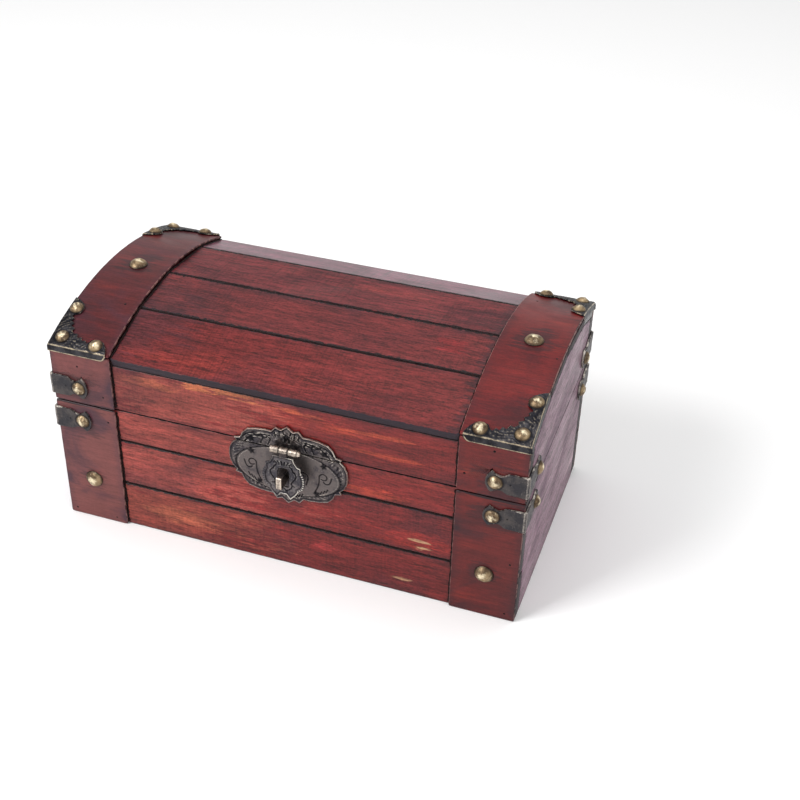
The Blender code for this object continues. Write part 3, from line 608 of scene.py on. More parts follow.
for body, upward in bodies:
    for face, outward in wall_faces:
        for side, hand in end_sides:
            name = f"{body}_band_{face}_{side}"
            low, high = np.array(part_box(name))
            middle = (low + high) / 2
            seed = 300 + 3 * len(bpy.data.materials)
            board = board_rings(*(high - low)[[2, 0, 1]], seed, 0.00004)
            points = laid(board[0], (along_z, along_x, outward * along_y), middle)
            at_x, at_y = hand * band_middle, middle[1]
            # The band is darker round the strap and round the big tack, and dark along the split, which is
            # painted shade in the gap between lid and base.
            dark_spots = (
                ((hand * 0.099, at_y, split_height + upward * strap_offset), (0.013, 0.01, 0.008), near_metal_dark, 0.55),
                ((at_x, at_y, low_tack_height), (0.006, 0.01, 0.006), near_metal_dark, 0.50),
                ((at_x, at_y, split_height), (0.050, 0.02, 0.0011), (0.012, 0.006, 0.008), 0.95),
            )
            tone = band_tone | band_tones[body, side] | dict(spots=dark_spots)
            wooden(name, body, seed, board, points, tone, bare=False)


def over_dome(points):
    """Points (x, way, height) bent over the dome: the way is run along the arc from its
    front edge, and the height stands square on it."""
    angle = points[..., 1] / dome_radius - half_angle
    radius = dome_radius + points[..., 2]
    return np.stack((points[..., 0], radius * np.sin(angle), dome_centre + radius * np.cos(angle)), -1)


dome_way = 2 * half_angle * dome_radius
dome_tones = {
    "left": dict(deep=(0.068, 0.011, 0.012), bright=(0.104, 0.014, 0.015), flame=(0.25, 0.030, 0.020)),
    "right": dict(deep=(0.122, 0.009, 0.010), bright=(0.160, 0.011, 0.010), flame=(0.30, 0.032, 0.018)),
}
for side, hand in end_sides:
    name = f"lid_band_dome_{side}"
    low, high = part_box(name)
    board = board_rings(dome_way, band_width, band_thickness, 400 + hand, 0.00004)
    middle = ((low[0] + high[0]) / 2, dome_way / 2, -band_thickness / 2)
    points = over_dome(laid(board[0], (along_y, along_x, along_z), middle))
    # The dome band is darker round the crown tack and by the corner protectors.
    dark_spots = (((hand * band_middle, 0, 0.107), (0.009, 0.011, 0.01), near_metal_dark, 0.65),
               ((hand * 0.103, -0.052, 0.097), (0.016, 0.016, 0.02), near_metal_dark, 0.45),
               ((hand * 0.103, 0.050, 0.097), (0.018, 0.020, 0.02), near_metal_dark, 0.55))
    tone = band_tone | band_tones["lid", side] | dome_tones[side] | dict(
        fiery=0.35, smoky=0.6, figure=0.5, paint=0.00006, wear=0.8, shine=0.14, coat=0.06, spots=dark_spots)
    wooden(name, "lid", 400 + hand, board, points, tone, bare=False)


# ---- Grooves: the seams between boards, and beside the bands, are run full of black paint.
# It dries in rough beads a little below the faces of the boards.


def black_paint():
    """Thick black paint with a dull skin, dusty on its high spots."""
    material, shader, position = blank("black seam paint")
    dust = noise(position, (900, 900, 900), 4, 0.7)
    colour = dust.ramp(0.52, 0.74).mix((0.007, 0.002, 0.002, 1), (0.055, 0.022, 0.017, 1))
    lump = noise(position, (1700, 1700, 1700), 3, 0.6)
    dress(shader, colour, dust.ramp(0.3, 0.7, 0.30, 0.75), lump, 0.0005, 0.9)
    shader.inputs["Specular IOR Level"].default_value = 0.10
    return material


seam_paint = black_paint()
bead_step = 0.0007
groove_bead = (0.0015, 0.0009)
seam_bead = (0.0012, 0.0008)
bead_sink = 0.0006


def bead(name, path, side, out, size, seed, body):
    """A bead of paint along a path: ovals whose width and height lie on two directions.

    Two ripples swell each oval by up to a half, and the end ones shrink to points.
    """
    path = np.stack(np.broadcast_arrays(*path), 1)[:, None]
    side, out = (np.broadcast_to(way, (len(path), 3))[:, None] for way in (side, out))
    turn = (np.arange(10) / 10 * 2 * np.pi)[:, None]
    oval = (np.cos(turn) * size[0] * side + np.sin(turn) * size[1] * out) / 2
    oval[[0, -1]] = 0
    lumps = 1 + 0.30 * ripple(path + oval, seed, 0.0011) + 0.25 * ripple(path + oval, seed + 9, 0.006)
    piece(name, skin(name, path + oval * lumps[..., None]), seam_paint, body)


band_inner = half_length - band_width
groove_path = np.linspace(-band_inner + seat, band_inner - seat, int(2 * band_inner / bead_step))
board_face = half_depth - band_thickness - seat
for face, outward in wall_faces:
    for number, level in enumerate((0.0246, 0.0492)):
        bead(f"groove_{face}_{number + 1}", (groove_path, outward * (board_face - bead_sink), level),
             along_z, outward * along_y, groove_bead, 500 + number, "base")

for number, angle in enumerate(slat_edges[1:-1]):
    place, along, out = on_dome(0, angle, slat_radius - bead_sink)
    bead(f"groove_slat_{number + 1}", (groove_path, *place[1:]), along, out, groove_bead, 510 + number,
         "lid")

for side, hand in end_sides:
    seam_x = hand * (band_inner - seam_bead[0] * 0.20)
    turn = np.linspace(slat_edges[0] + 0.004, slat_edges[-1] - 0.004, int(2 * half_depth / bead_step))
    dome_y = slat_radius * np.sin(turn)
    out = np.stack((0 * turn, np.sin(turn), np.cos(turn)), 1)
    bead(f"seam_dome_{side}", (seam_x, dome_y, slat_plane(dome_y, 0)), along_x, out, seam_bead,
         520 + hand, "lid")
    for face, outward in wall_faces:
        for body, upward in bodies:
            low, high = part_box(f"{body}_band_{face}_{side}")
            heights = np.linspace(low[2] + 0.0006, high[2] - 0.0006, int((high[2] - low[2]) / bead_step))
            seed = 530 + hand + outward * 2 + 5 * (body == "lid")
            bead(f"seam_{body}_{face}_{side}", (seam_x, outward * board_face, heights), along_x,
                 outward * along_y, seam_bead, seed, body)


# ---- Big tacks: round-headed upholstery tacks, one low on each front band and one on the crown.
# They are pressed from brass sheet, darkened, and a little dented by the hammer.


def old_plating():
    """Aged plating on metal: two clouded tones, bright where it is worn or a highlight is painted, and black in
    hollows and where shade is painted.
    """
    tree, ins, outs = group("aged plating", ("Wear", "Hollow", "Tone"), ("Dark", "Mid", "Bright"))
    cloud = noise(ins["Place"], (160, 160, 160), 4, 0.6)
    speck = noise(ins["Place"], (1500, 1500, 1500), 3, 0.6)
    scrape = noise(ins["Place"], (2600, 320, 700), 2)
    colour = (cloud + ins["Tone"] * 0.5).ramp(0.38, 0.64).mix(ins["Dark"], ins["Mid"])
    worn = (ins["Wear"] + speck.ramp(0.3, 0.7, -0.16, 0.16)).ramp(0.20, 0.90)
    colour = worn.mix(colour, ins["Bright"])
    colour = (scrape.ramp(0.66, 0.74) * 0.22).mix(colour, ins["Bright"])
    # The hollow mark carries painted shade as well as patina: in the slot behind the hasp's flap, round the
    # tacks' rims and between the knuckles.
    darkening = ins["Hollow"] * speck.ramp(0.25, 0.65, 0.85, 1.0)
    colour = darkening.mix(colour, (0.006, 0.006, 0.008, 1))
    feed(outs, Color=colour, Roughness=speck.ramp(0.3, 0.7, 0.38, 0.58) - worn * 0.14,
         Height=speck + cloud * 0.6)
    return tree


plating_group = old_plating()


def plated(name, dark, mid, bright):
    """Aged plated metal that reads its wear, hollows and tone from marks on the mesh."""
    material, shader, position = blank(name)
    tree = position.tree
    plating = grouped(
        tree, plating_group, Place=position, Wear=mark(tree, "wear"), Hollow=mark(tree, "hollow"),
        Tone=mark(tree, "tone"), Dark=(*dark, 1), Mid=(*mid, 1), Bright=(*bright, 1),
    )
    dress(shader, plating["Color"], plating["Roughness"], plating["Height"], 0.00005)
    shader.inputs["Metallic"].default_value = 1.0
    return material


tack_brass = plated("antique brass", (0.082, 0.054, 0.034), (0.300, 0.218, 0.128), (0.830, 0.715, 0.500))
big_tack, small_tack = (0.0043, 0.0025, 0.00022), (0.0033, 0.0020, 0.0001)
big_shank = ((0.0007, -0.00022), (0.0007, -band_thickness))


def turned_rings(profile, around=36):
    """Rings about Z from (radius, height) points, from the top to the bottom."""
    angle = np.arange(around) / around * 2 * np.pi
    circle = np.stack((np.cos(angle), np.sin(angle), 0 * angle), 1)
    profile = np.array(profile, float)
    return profile[:, :1, None] * circle + profile[:, 1:, None] * along_z


def tack(name, size, seed, axes, middle, body, nodes, shank=()):
    """A tack set square on a face, bright on its top, partly worn and partly a painted highlight, and dark
    round its rim, a painted shade.

    Its size is the head's radius, its height and its foot. The dome is a cap of the
    ball through its top and its rim. Dents follow a ripple and fade at the rim, under
    which the sheet rolls in. The tack is spun by a seeded angle.
    """
    radius, height, foot = size
    ball = (radius**2 + height**2) / (2 * height)
    angle = np.linspace(0, np.arcsin(radius / ball), 13)
    cap = np.stack((ball * np.sin(angle), height - ball + ball * np.cos(angle)), 1)
    lowest = shank[-1][1] if shank else -foot
    profile = np.array((*cap, (radius * 1.02, -0.00008), (radius * 0.99, -foot), *shank, (0, lowest)))
    rings = turned_rings(profile)
    share = np.clip(profile[:, :1] / radius, 0, 1)
    dent = 0.055 * radius * ripple(rings * (1, 1, 0), seed, radius * 0.75, 7) * (1 - share**3)
    dent[len(cap):] = 0
    rings[..., 2] += dent - np.abs(dent) * 0.5
    # The crown's brightness is part wear and part painted highlight; the dark ring at the rim is painted shade.
    wear = 0.62 * hump(share, 0.62) + 0.22 * ripple(rings, seed + 1, radius * 0.8, 8)
    hollow = np.broadcast_to(0.9 * grow(share, 0.80, 0.2) ** 2, wear.shape)
    spin = np.random.default_rng(seed).uniform(0, 2 * np.pi)
    first, second, out = np.array(axes, float)
    turned = (np.cos(spin) * first + np.sin(spin) * second, np.cos(spin) * second - np.sin(spin) * first, out)
    mesh = skin(name, laid(rings, turned, middle), {"wear": wear, "hollow": hollow})
    piece(name, mesh, tack_brass, body, nodes)


for side, hand in end_sides:
    at_x = hand * band_middle
    tack(f"base_tack_{side}_head", big_tack, 600 + hand, (along_x, along_z, -along_y),
         (at_x, -half_depth - seat, low_tack_height), "base", [f"base_tack_{side}"], big_shank)
    tack(f"lid_tack_{side}_head", big_tack, 610 + hand, (along_x, along_y, along_z),
         (at_x, 0, eaves_height + dome_rise + seat), "lid", [f"lid_tack_{side}"], big_shank)


# ---- Corner straps: thin sheet cut with an axe-shaped end each way and folded round the corner.
# Each is held by two tacks, one in front or behind and one on the end of the chest.

sheet = 0.0008
strap_front, strap_side = 0.0180, 0.0200
strap_height = 0.37 * (eaves_height - split_height)
tack_inset = 0.0046
strap_form = np.array((
    (0.00, 1.00), (0.40, 0.99), (0.47, 0.94), (0.53, 0.80), (0.59, 0.68), (0.66, 0.66), (0.74, 0.76),
    (0.80, 0.90), (0.845, 1.02), (0.875, 0.95), (0.93, 0.72), (0.975, 0.42), (1.00, 0.00),
))
strap_steel = plated("dark corner plating", (0.044, 0.042, 0.047), (0.082, 0.073, 0.071), (0.40, 0.36, 0.32))


def strap_rings(seed):
    """Rings across a strap about the front right corner edge, and its marks.

    Along the strap the half width follows the form's shares with a ragged ripple; the
    section is a flat plate with rounded edges. The way along runs straight on the
    front, a quarter circle round the corner, and straight on the side.
    """
    bend = seat * np.pi / 4
    way = np.r_[np.linspace(-strap_front, 0, 96)[:-1], np.linspace(0, strap_side, 104)]
    leg = np.where(way < 0, strap_front, strap_side)
    half = strap_height / 2 * np.interp(np.abs(way) / leg, *strap_form.T)
    rim = np.linspace(0.94, 1, 4)[1:]
    across = np.r_[-rim[::-1], np.linspace(-0.94, 0.94, 16), rim]
    section = np.r_[across, across[::-1]]
    lift = np.r_[0, 0.30, 0.85, np.ones(16), 0.85, 0.30, np.zeros(23)]
    stations = np.stack((way, 0 * way, way), 1)
    ragged = 0.00014 * ripple(stations, seed, 0.0035) + 0.00006 * ripple(stations, seed + 3, 0.0011)
    ragged = (ragged * grow(half, 0, 0.0015))[:, None]
    v = half[:, None] * section + ragged * section * np.abs(section) ** 3
    u = np.broadcast_to(way[:, None], v.shape)
    out = seat + sheet * lift * grow(half, 0, 0.0004)[:, None]
    out = out + 0.00006 * ripple(np.stack((u, v), 2), seed + 1, 0.004) * (lift > 0.5)
    turn = (np.clip(u / bend, -1, 1) - 1) * np.pi / 4
    straight = np.maximum(np.abs(u) - bend, 0)
    x = np.where(u < 0, -straight, 0) + out * np.cos(turn)
    y = np.where(u > 0, straight, 0) + out * np.sin(turn)
    rings = np.stack((x, y, v), 2)
    from_tip = leg[:, None] - np.abs(u)
    from_edge = np.minimum(half[:, None] - np.abs(v), from_tip)
    wear = 0.85 * hump(from_edge, 0.00020) * (0.8 + 0.5 * ripple(rings, seed + 2, 0.005))
    wear = wear + 0.55 * hump(np.abs(u) - bend, 0.0003)
    hollow = hump(np.hypot(np.abs(u) - 0.0072, v - 0.0002), 0.0004, 4)
    hollow = hollow + 0.7 * hump(np.hypot(from_tip - tack_inset, v) - 0.0034, 0.0004)
    return rings, {"wear": np.clip(wear, 0, 1), "hollow": np.clip(hollow, 0, 1)}


above = seat + sheet
for face, outward in wall_faces:
    for side, hand in end_sides:
        for body, upward in bodies:
            name = f"{body}_strap_{face}_{side}"
            seed = 640 + 16 * upward + 4 * outward + hand
            rings, marks = strap_rings(seed)
            corner = np.array((hand * half_length, outward * half_depth, split_height + upward * strap_offset))
            mesh = skin(name + "_plate", rings * (hand, -outward, 1) + corner, marks)
            piece(name + "_plate", mesh, strap_steel, body, [name])
            on_wall = corner + (hand * (tack_inset - strap_front), outward * above, 0)
            on_end = corner + (hand * above, outward * (tack_inset - strap_side), 0)
            tack(name + "_tack_wall", small_tack, seed + 50, (along_x, along_z, outward * along_y),
                 on_wall, body, [name])
            tack(name + "_tack_end", small_tack, seed + 90, (along_y, along_z, hand * along_x),
                 on_end, body, [name])


# ---- Corner protectors: pressed sheet folded down over the eaves on two sides, with a ragged
# long edge and veins like a leaf's. Three tacks hold each one, and the fold is worn to gold.

corner_leg = 0.029
corner_flange = 0.0022
corner_tip = 0.0026
corner_round = 0.0010
fold_round = 0.00045
ragged_form = np.array((
    (1.000, 0.000), (0.985, 0.060), (0.940, 0.150), (0.880, 0.225), (0.800, 0.262), (0.725, 0.250),
    (0.690, 0.240), (0.655, 0.165), (0.610, 0.150), (0.572, 0.205), (0.520, 0.178), (0.485, 0.245),
    (0.425, 0.222), (0.388, 0.300), (0.330, 0.282),
)) * corner_leg
corner_tacks = np.array(((0.770, 0.130), (0.175, 0.175), (0.130, 0.770))) * corner_leg
protector_steel = plated("black and gold plating", (0.018, 0.018, 0.022), (0.052, 0.050, 0.055),
                         (0.46, 0.38, 0.27))


def way_along(line):
    """How far along a line of straight stretches each of its points lies."""
    return np.r_[0, np.cumsum(np.linalg.norm(np.diff(line, axis=0), axis=1))]


def protector_rings(seed):
    """Rings across a protector at the front right corner, and its marks.

    Each ring starts at a place along the fold, on the front leg, the corner's small
    round or the side leg, and at the matching place of the ragged edge. From the
    fold by q it lies f away and g down, f = (q + root of q squared plus r squared)
    / 2 and g the same with -q, which is a smooth right angle of roundness r. The
    two ends are drawn together, point by opposite point.
    """
    edge = np.concatenate((ragged_form, ragged_form[::-1, ::-1]))
    steps = way_along(edge)
    ways = np.linspace(0, steps[-1], 250)
    far = np.stack([np.interp(ways, steps, edge[:, k]) for k in (0, 1)], 1)
    turning, inner = ragged_form[-1]
    share = np.clip(0.5 + (far[:, :1] - far[:, 1:]) / (2 * (turning - inner)), 0, 1)
    toward = np.concatenate((np.sin(share * np.pi / 2), np.cos(share * np.pi / 2)), 1)
    on_leg = far >= turning
    leg = corner_round + (far - turning) * (corner_leg - corner_round) / (corner_leg - turning)
    near = np.where(on_leg.any(axis=1)[:, None], leg * on_leg, corner_round * (1 - toward[:, ::-1]))
    length = np.linalg.norm(far - near, axis=1)[:, None]
    direction = np.where(length < 1e-5, toward, (far - near) / np.maximum(length, 1e-9))
    q_down = -np.array((1.0, 0.92, 0.80, 0.62, 0.44, 0.27, 0.13, 0.04))
    q_up = np.array((0.0, 0.012, 0.03, 0.055, 0.09, 0.14, *np.linspace(0.2, 1.0, 22)))
    tip = grow(near.max(axis=1), corner_leg - corner_tip, corner_tip)[:, None]
    flange = (corner_flange + sheet) * np.sqrt(1 - tip**2)
    q = np.concatenate((flange * q_down, length * q_up), 1)
    root = np.sqrt(q**2 + fold_round**2)
    f = (q + root) * length / (length + np.sqrt(length**2 + fold_round**2))
    g = (root - q) / 2
    plan = near[:, None] + direction[:, None] * f[..., None]
    p, w = plan[..., 0], plan[..., 1]
    from_edge = np.abs(length - q)
    heads = np.min([np.hypot(p - a, w - b) for a, b in corner_tacks], axis=0)
    field = grow(q, 0, 0.0012) * grow(from_edge, 0, 0.0010) * grow(heads, 0.0034, 0.0006)
    sway = 0.9 * ripple(plan, seed, 0.006, 6)
    veins = np.sin(44 * np.arctan2(w, p) + 2.4 * sway + 4 * np.sin(np.hypot(p, w) / 0.0020))
    curls = ripple(plan, seed + 1, 0.0013, 12)
    pressed = field * (0.00007 * veins + 0.00006 * curls) + 0.00014 * hump(q - 0.0005, 0.00035) * (q > -0.001)
    lip = 0.00022 * hump(q + flange * 0.92, 0.00035) * (flange > 0.0012)
    outer = np.r_[0.5, 0.9, np.ones(q.shape[1] - 4), 0.9, 0.5]
    faces = []
    for thick, is_outer in ((outer, 1), (1 - outer, 0)):
        push = (thick * sheet + is_outer * lip) * (1 - q / root) / 2
        at = plan - toward[:, None] * push[..., None]
        angle = (at[..., 1] - seat) / dome_radius - half_angle
        radius = dome_radius + seat + (thick * sheet + is_outer * pressed) * (1 + q / root) / 2
        y = radius * np.sin(angle) - g * np.sin(angle) * (1 - share)
        z = dome_centre + radius * np.cos(angle) - g * (np.cos(angle) * (1 - share) + share)
        faces.append(np.stack((half_length + seat - at[..., 0], y, z), 2))
    rings = np.concatenate((faces[0], faces[1][:, ::-1]), 1)
    rings[[0, -1]] = (rings[[0, -1]] + rings[[0, -1], ::-1]) / 2
    gold = 0.75 * hump(q - 0.0002, 0.00032) + 0.85 * hump(q + flange * 0.95, 0.00026)
    gold = gold * (1 + 0.20 * ripple(plan, seed + 4, 0.004))
    worn_edge = 0.8 * hump(from_edge, 0.00022) * (0.9 + 0.4 * ripple(plan, seed + 5, 0.003))
    wear = gold + worn_edge + field * np.clip(veins + curls, 0, 1) * 0.36
    hollow = 0.9 * hump(heads - 0.0034, 0.00035) + field * np.clip(-veins - curls, 0, 1) * 0.6
    return rings, {"wear": np.clip(wear, 0, 1), "hollow": np.clip(hollow, 0, 1)}


for face, outward in wall_faces:
    for side, hand in end_sides:
        name = f"lid_corner_{face}_{side}"
        seed = 700 + 4 * outward + hand
        rings, marks = protector_rings(seed)
        flip = np.array((hand, -outward, 1.0))
        mesh = skin(name + "_plate", rings * flip, marks, 40)
        piece(name + "_plate", mesh, protector_steel, "lid", [name])
        for number, (in_from_end, back_from_front) in enumerate(corner_tacks, 1):
            angle = back_from_front / dome_radius - half_angle
            place, along, out = on_dome(half_length - in_from_end, angle, dome_radius + above)
            tack(f"{name}_tack_{number}", small_tack, seed + 20 * number, (along_x, along * flip, out * flip),
                 place * flip, "lid", [name])


# ---- Hasp plate: pressed sheet in two halves, cut with points and cusps and engraved with scrolls.
# The lower half is nailed to the planks and the upper one to the lid's front board.

hasp_x, hasp_middle = 0.004, 0.0577
plate_back_y = -(half_depth - band_thickness)
plate_thickness = 0.0010
plate_quarter = np.array((0.0280, 0.0208)) * (
    (1, 0), (0.99, 0.15), (0.945, 0.29), (0.87, 0.39), (0.905, 0.45), (0.8, 0.48), (0.755, 0.62),
    (0.67, 0.74), (0.52, 0.79), (0.36, 0.815), (0.265, 0.81), (0.19, 0.935), (0.105, 0.89), (0, 1),
)
plate_outline = np.concatenate((
    plate_quarter, (plate_quarter * (-1, 1))[-2::-1], (plate_quarter * (-1, -1))[1:],
    (plate_quarter * (1, -1))[-2:0:-1],
))
split_level = 0.0083
panel_middle, panel_half = np.array((0, -0.0033)), np.array((0.0246, 0.0122))
behind_slot, shadow_half = np.array((0, -0.0020)), np.array((0.0034, 0.0062))
hasp_steel = plated("grey bronze plating", (0.056, 0.050, 0.057), (0.138, 0.118, 0.114), (0.62, 0.56, 0.49))


def cut_outline(outline, level, side):
    """The part of a closed outline above or below a level, with the two points on it."""
    ahead = np.roll(outline, -1, axis=0)
    with np.errstate(divide="ignore", invalid="ignore"):
        share = (level - outline[:, 1]) / (ahead[:, 1] - outline[:, 1])
    crossing = (share > 0) & (share < 1)
    share = np.where(crossing, share, 0)
    both = np.stack((outline, outline + share[:, None] * (ahead - outline)), 1)
    return both[np.stack((side * (outline[:, 1] - level) > 0, crossing), 1)]


def walked(outline, step):
    """Points along a closed outline, about a step apart, with its corners kept."""
    ahead = np.roll(outline, -1, axis=0)
    counts = np.maximum(np.round(np.linalg.norm(ahead - outline, axis=1) / step), 1).astype(int)
    index = np.repeat(np.arange(len(outline)), counts)
    place = np.arange(counts.sum()) - np.repeat(np.cumsum(counts) - counts, counts)
    return outline[index] + (place / counts[index])[:, None] * (ahead - outline)[index]


def from_line(points, line):
    """The distance of each point from a line of short straight stretches."""
    best = np.full(points.shape[:-1], np.inf)
    for start, end in zip(line[:-1], line[1:]):
        span = end - start
        share = np.clip((points - start) @ span / max(span @ span, 1e-18), 0, 1)
        best = np.minimum(best, np.linalg.norm(points - start - share[..., None] * span, axis=-1))
    return best


def bending_line(start, heading, *stretches):
    """A line of 0.6 mm steps that turns by a curvature (per mm) that runs from one value
    to another along each stretch of it; start and lengths are in mm."""
    bends = np.concatenate([
        np.linspace(first, last, max(int(length / 0.6), 2)) for length, first, last in stretches
    ])
    angle = np.radians(heading) + np.cumsum(bends) * 0.6
    steps = np.stack((np.cos(angle), np.sin(angle)), 1) * 0.6
    return (np.array(start) + np.concatenate((np.zeros((1, 2)), np.cumsum(steps, axis=0)))) / 1000


def between(inner, outer, shares):
    """Points at shares of the way from inner to outer ones."""
    return inner + np.array(shares)[:, None, None] * (outer - inner)


def lifted(flat, height):
    """Flat points with a height."""
    return np.concatenate((flat, np.broadcast_to(height, flat.shape[:2])[..., None]), -1)


def engraved(points, lines):
    """The relief of lines cut with a fine graver, and the marks they leave: dark with a
    bright burr on both sides."""
    near = np.min([from_line(points, line) for line in lines], axis=0)
    cut = hump(near, 0.00036, 4)
    burr = hump(near - 0.00062, 0.00020)
    return 0.00006 * burr - 0.00014 * cut, cut, burr


def mirrored(*lines):
    """Lines and their mirror images from left to right."""
    return [*lines, *(line * (-1, 1) for line in lines)]


def plate_mesh(name, level, side, middle, levels, seed, lines, nails, panel):
    """A closed mesh of half of the plate: its face with rim, leaf border, panel and
    engraving, a rounded edge, and a plain back. The face's points stand at shares of
    the way to the outline; the leaves are a sine of the way round it and the way in."""
    edge = walked(cut_outline(plate_outline, level, side), 0.00022)
    face = between(np.array(middle), edge, np.linspace(0, 1, levels))
    near = from_line(face, np.concatenate((plate_outline, plate_outline[:1])))
    groove = hump(near - 0.00085, 0.00034)
    inner = hump(near - 0.00200, 0.00024)
    lumps = ripple(face, seed, 0.0016)
    inside = grow(near, 0.0012, 0.0004)
    way_in = (1 - np.linalg.norm((face - panel_middle) / panel_half, axis=-1)) * panel_half[1]
    within = panel * grow(way_in, -0.0002, 0.0004)
    border = panel * hump(way_in, 0.00028)
    cut_relief, cut, burr = engraved(face, lines)
    leaves = np.sin(2 * np.pi * way_along(edge) / 0.0023 + near / 0.00040)
    leafy = grow(near, 0.0021, 0.0003) * (1 - grow(near, 0.0044, 0.0008)) * (1 - within)
    relief = 0.00018 * hump(near - 0.00022, 0.00024) - 0.00014 * groove + 0.00007 * inner
    relief = (relief + 0.00007 * lumps * inside) * (1 - within) + 0.00012 * within
    relief = relief - 0.00010 * border + cut_relief + 0.00007 * leaves * leafy
    x, y = np.moveaxis(face - nails[:, None, None], -1, 0)
    star = (np.hypot(x, y) * (1 + 0.22 * np.cos(5 * np.arctan2(y, x)))).min(axis=0)
    rust = hump(star, 0.0014, 6)
    shadow = hump(np.linalg.norm((face - behind_slot) / shadow_half, axis=-1), 1, 4)
    wear = 0.9 * hump(near, 0.00028) + 0.34 * inner + 0.16 * inside * np.clip(lumps, 0, 1)
    wear = wear * (1 - within) + 0.40 * panel * hump(way_in - 0.0005, 0.00022) + 0.28 * burr
    wear = wear + 0.35 * hump(face[..., 1] - split_level, 0.0006)
    wear = (wear + 0.42 * np.clip(leaves - 0.2, 0, 1) * leafy) * (1 - np.maximum(shadow, rust))
    hollow = (0.85 * groove + 0.45 * inside * np.clip(-lumps, 0, 1)) * (1 - within) + 0.85 * border
    hollow = hollow + 0.95 * cut + 0.85 * shadow + rust + 0.6 * np.clip(-leaves - 0.1, 0, 1) * leafy
    high = plate_thickness + relief
    high[-1] -= 0.00025
    rings = np.concatenate((lifted(face, high), lifted(between(np.array(middle), edge, (1, 0.6, 0)), 0)))
    marks = {"wear": np.clip(wear, 0, 1), "hollow": np.clip(hollow, 0, 1), "tone": within * 0.24}
    return skin(name, rings[..., (0, 2, 1)] * (1, -1, 1) + (hasp_x, plate_back_y, hasp_middle), marks, 40)


plate_nails = {
    "lower": np.array(((-16.9, 4.0), (16.9, 4.0), (-13.6, -11.8), (13.6, -11.8))) / 1000,
    "upper": np.array(((-17.0, 10.6), (17.0, 10.6), (0, 15.0))) / 1000,
}
scroll = bending_line((12.6, -11.2), 62, (7.0, 0.02, 0.09), (3.0, 0.09, 0.0), (9.4, -0.48, -0.70))
hook = bending_line((20.6, -1.6), -100, (3.0, -0.05, -0.10), (3.6, -0.45, -0.80))
tail = bending_line((8.6, -8.0), 80, (4.0, -0.10, 0.10), (5.0, 0.25, 0.60))
hatches = [bending_line(start, 62, (2.2, 0.0, 0.1)) for start in
           ((15.2, -11.6), (16.6, -10.8), (18.0, -9.8), (3.6, -16.4), (4.9, -16.0), (6.2, -15.4))]
lower_mesh = plate_mesh("hasp_lower_plate_sheet", 0.0080, -1, (0, -0.0017), 110, 760,
                        mirrored(scroll, hook, tail, *hatches), plate_nails["lower"], True)
piece("hasp_lower_plate_sheet", lower_mesh, hasp_steel, "base", ["hasp_lower_plate"])

leaf_bends = (3.0, 0.30, -0.20), (3.0, -0.90, -0.90)
leaf = bending_line((9.0, 9.4), 100, *leaf_bends, (3.0, 0.90, 0.50))
second_leaf = bending_line((12.5, 9.4), 100, *leaf_bends, (2.4, 0.90, 0.50))
sweep = bending_line((14.5, 14.6), -14, (8.0, -0.03, -0.16))
long_sweep = bending_line((8.0, 14.4), -2, (9.0, -0.02, -0.10), (6.0, -0.10, -0.05))
crown = [bending_line(start, 80, (2.0, 0.1, -0.1)) for start in
         ((1.6, 16.6), (3.4, 15.6), (5.4, 14.8), (0.9, 12.4))]
upper_mesh = plate_mesh("hasp_upper_plate_sheet", 0.0086, 1, (0, 0.0115), 64, 770,
                        mirrored(leaf, second_leaf, sweep, long_sweep, *crown), plate_nails["upper"], False)
piece("hasp_upper_plate_sheet", upper_mesh, hasp_steel, "lid", ["hasp_upper_plate"])

nail_profile = ((0, 0.00040), (0.0005, 0.00032), (0.0009, 0.00005), (0.0009, -0.0004), (0, -0.0004))
for body, half in (("base", "lower"), ("lid", "upper")):
    for number, (across, level) in enumerate(plate_nails[half], 1):
        rings = turned_rings(nail_profile, 20)
        middle = (hasp_x + across, plate_back_y - plate_thickness, hasp_middle + level)
        points = laid(rings, (along_x, along_z, -along_y), middle)
        name = f"hasp_{half}_plate_nail_{number}"
        mesh = skin(name, points, {"hollow": np.full(rings.shape[:2], 0.96)})
        piece(name, mesh, hasp_steel, body, [f"hasp_{half}_plate"])


# ---- Staple, knuckles and pin: strips of the same sheet, bent and rolled; the knuckles and pin are bright from use, the staple's front face bright as a painted highlight.
# The flap turns on the pin between two knuckles of the upper plate, over the staple.

worn_bronze = plated("worn bronze plating", (0.052, 0.044, 0.044), (0.150, 0.118, 0.102), (0.62, 0.53, 0.44))


def worn_strip(name, path, xs, body, owner, wear, darkening):
    """A bent strip of sheet along X whose section follows a path of (y, z) points.

    The first and the last ring are drawn to the path itself, which closes the ends.
    There is a wear for each point of the path, a little blotched by a ripple, and a
    share of darkening along the strip's edges, where wear is more if there is none; on the knuckles it is
    painted shade in the gaps between them.
    """
    ahead = np.gradient(path, axis=0)
    ahead /= np.linalg.norm(ahead, axis=1)[:, None]
    side = np.stack((ahead[:, 1], -ahead[:, 0]), 1) * sheet / 2
    stations = np.r_[xs[0], xs, xs[-1]]
    spread = np.r_[0, 0.8, np.ones(len(xs) - 2), 0.8, 0][:, None, None]
    section = np.concatenate((path + spread * side, (path - spread * side)[:, ::-1]), 1)
    rings = np.concatenate((np.broadcast_to(stations[:, None, None], (*section.shape[:2], 1)), section), -1)
    rim = hump(np.minimum(rings[..., 0] - xs[0], xs[-1] - rings[..., 0]), 0.00028)
    worn = np.r_[wear, wear[::-1]] * (1 + 0.8 * (1 - darkening) * rim) + 0.08 * ripple(rings, 780, 0.003)
    mesh = skin(name, rings, {"wear": np.clip(worn, 0, 1), "hollow": darkening * rim}, 40)
    piece(name, mesh, worn_bronze, body, [owner])


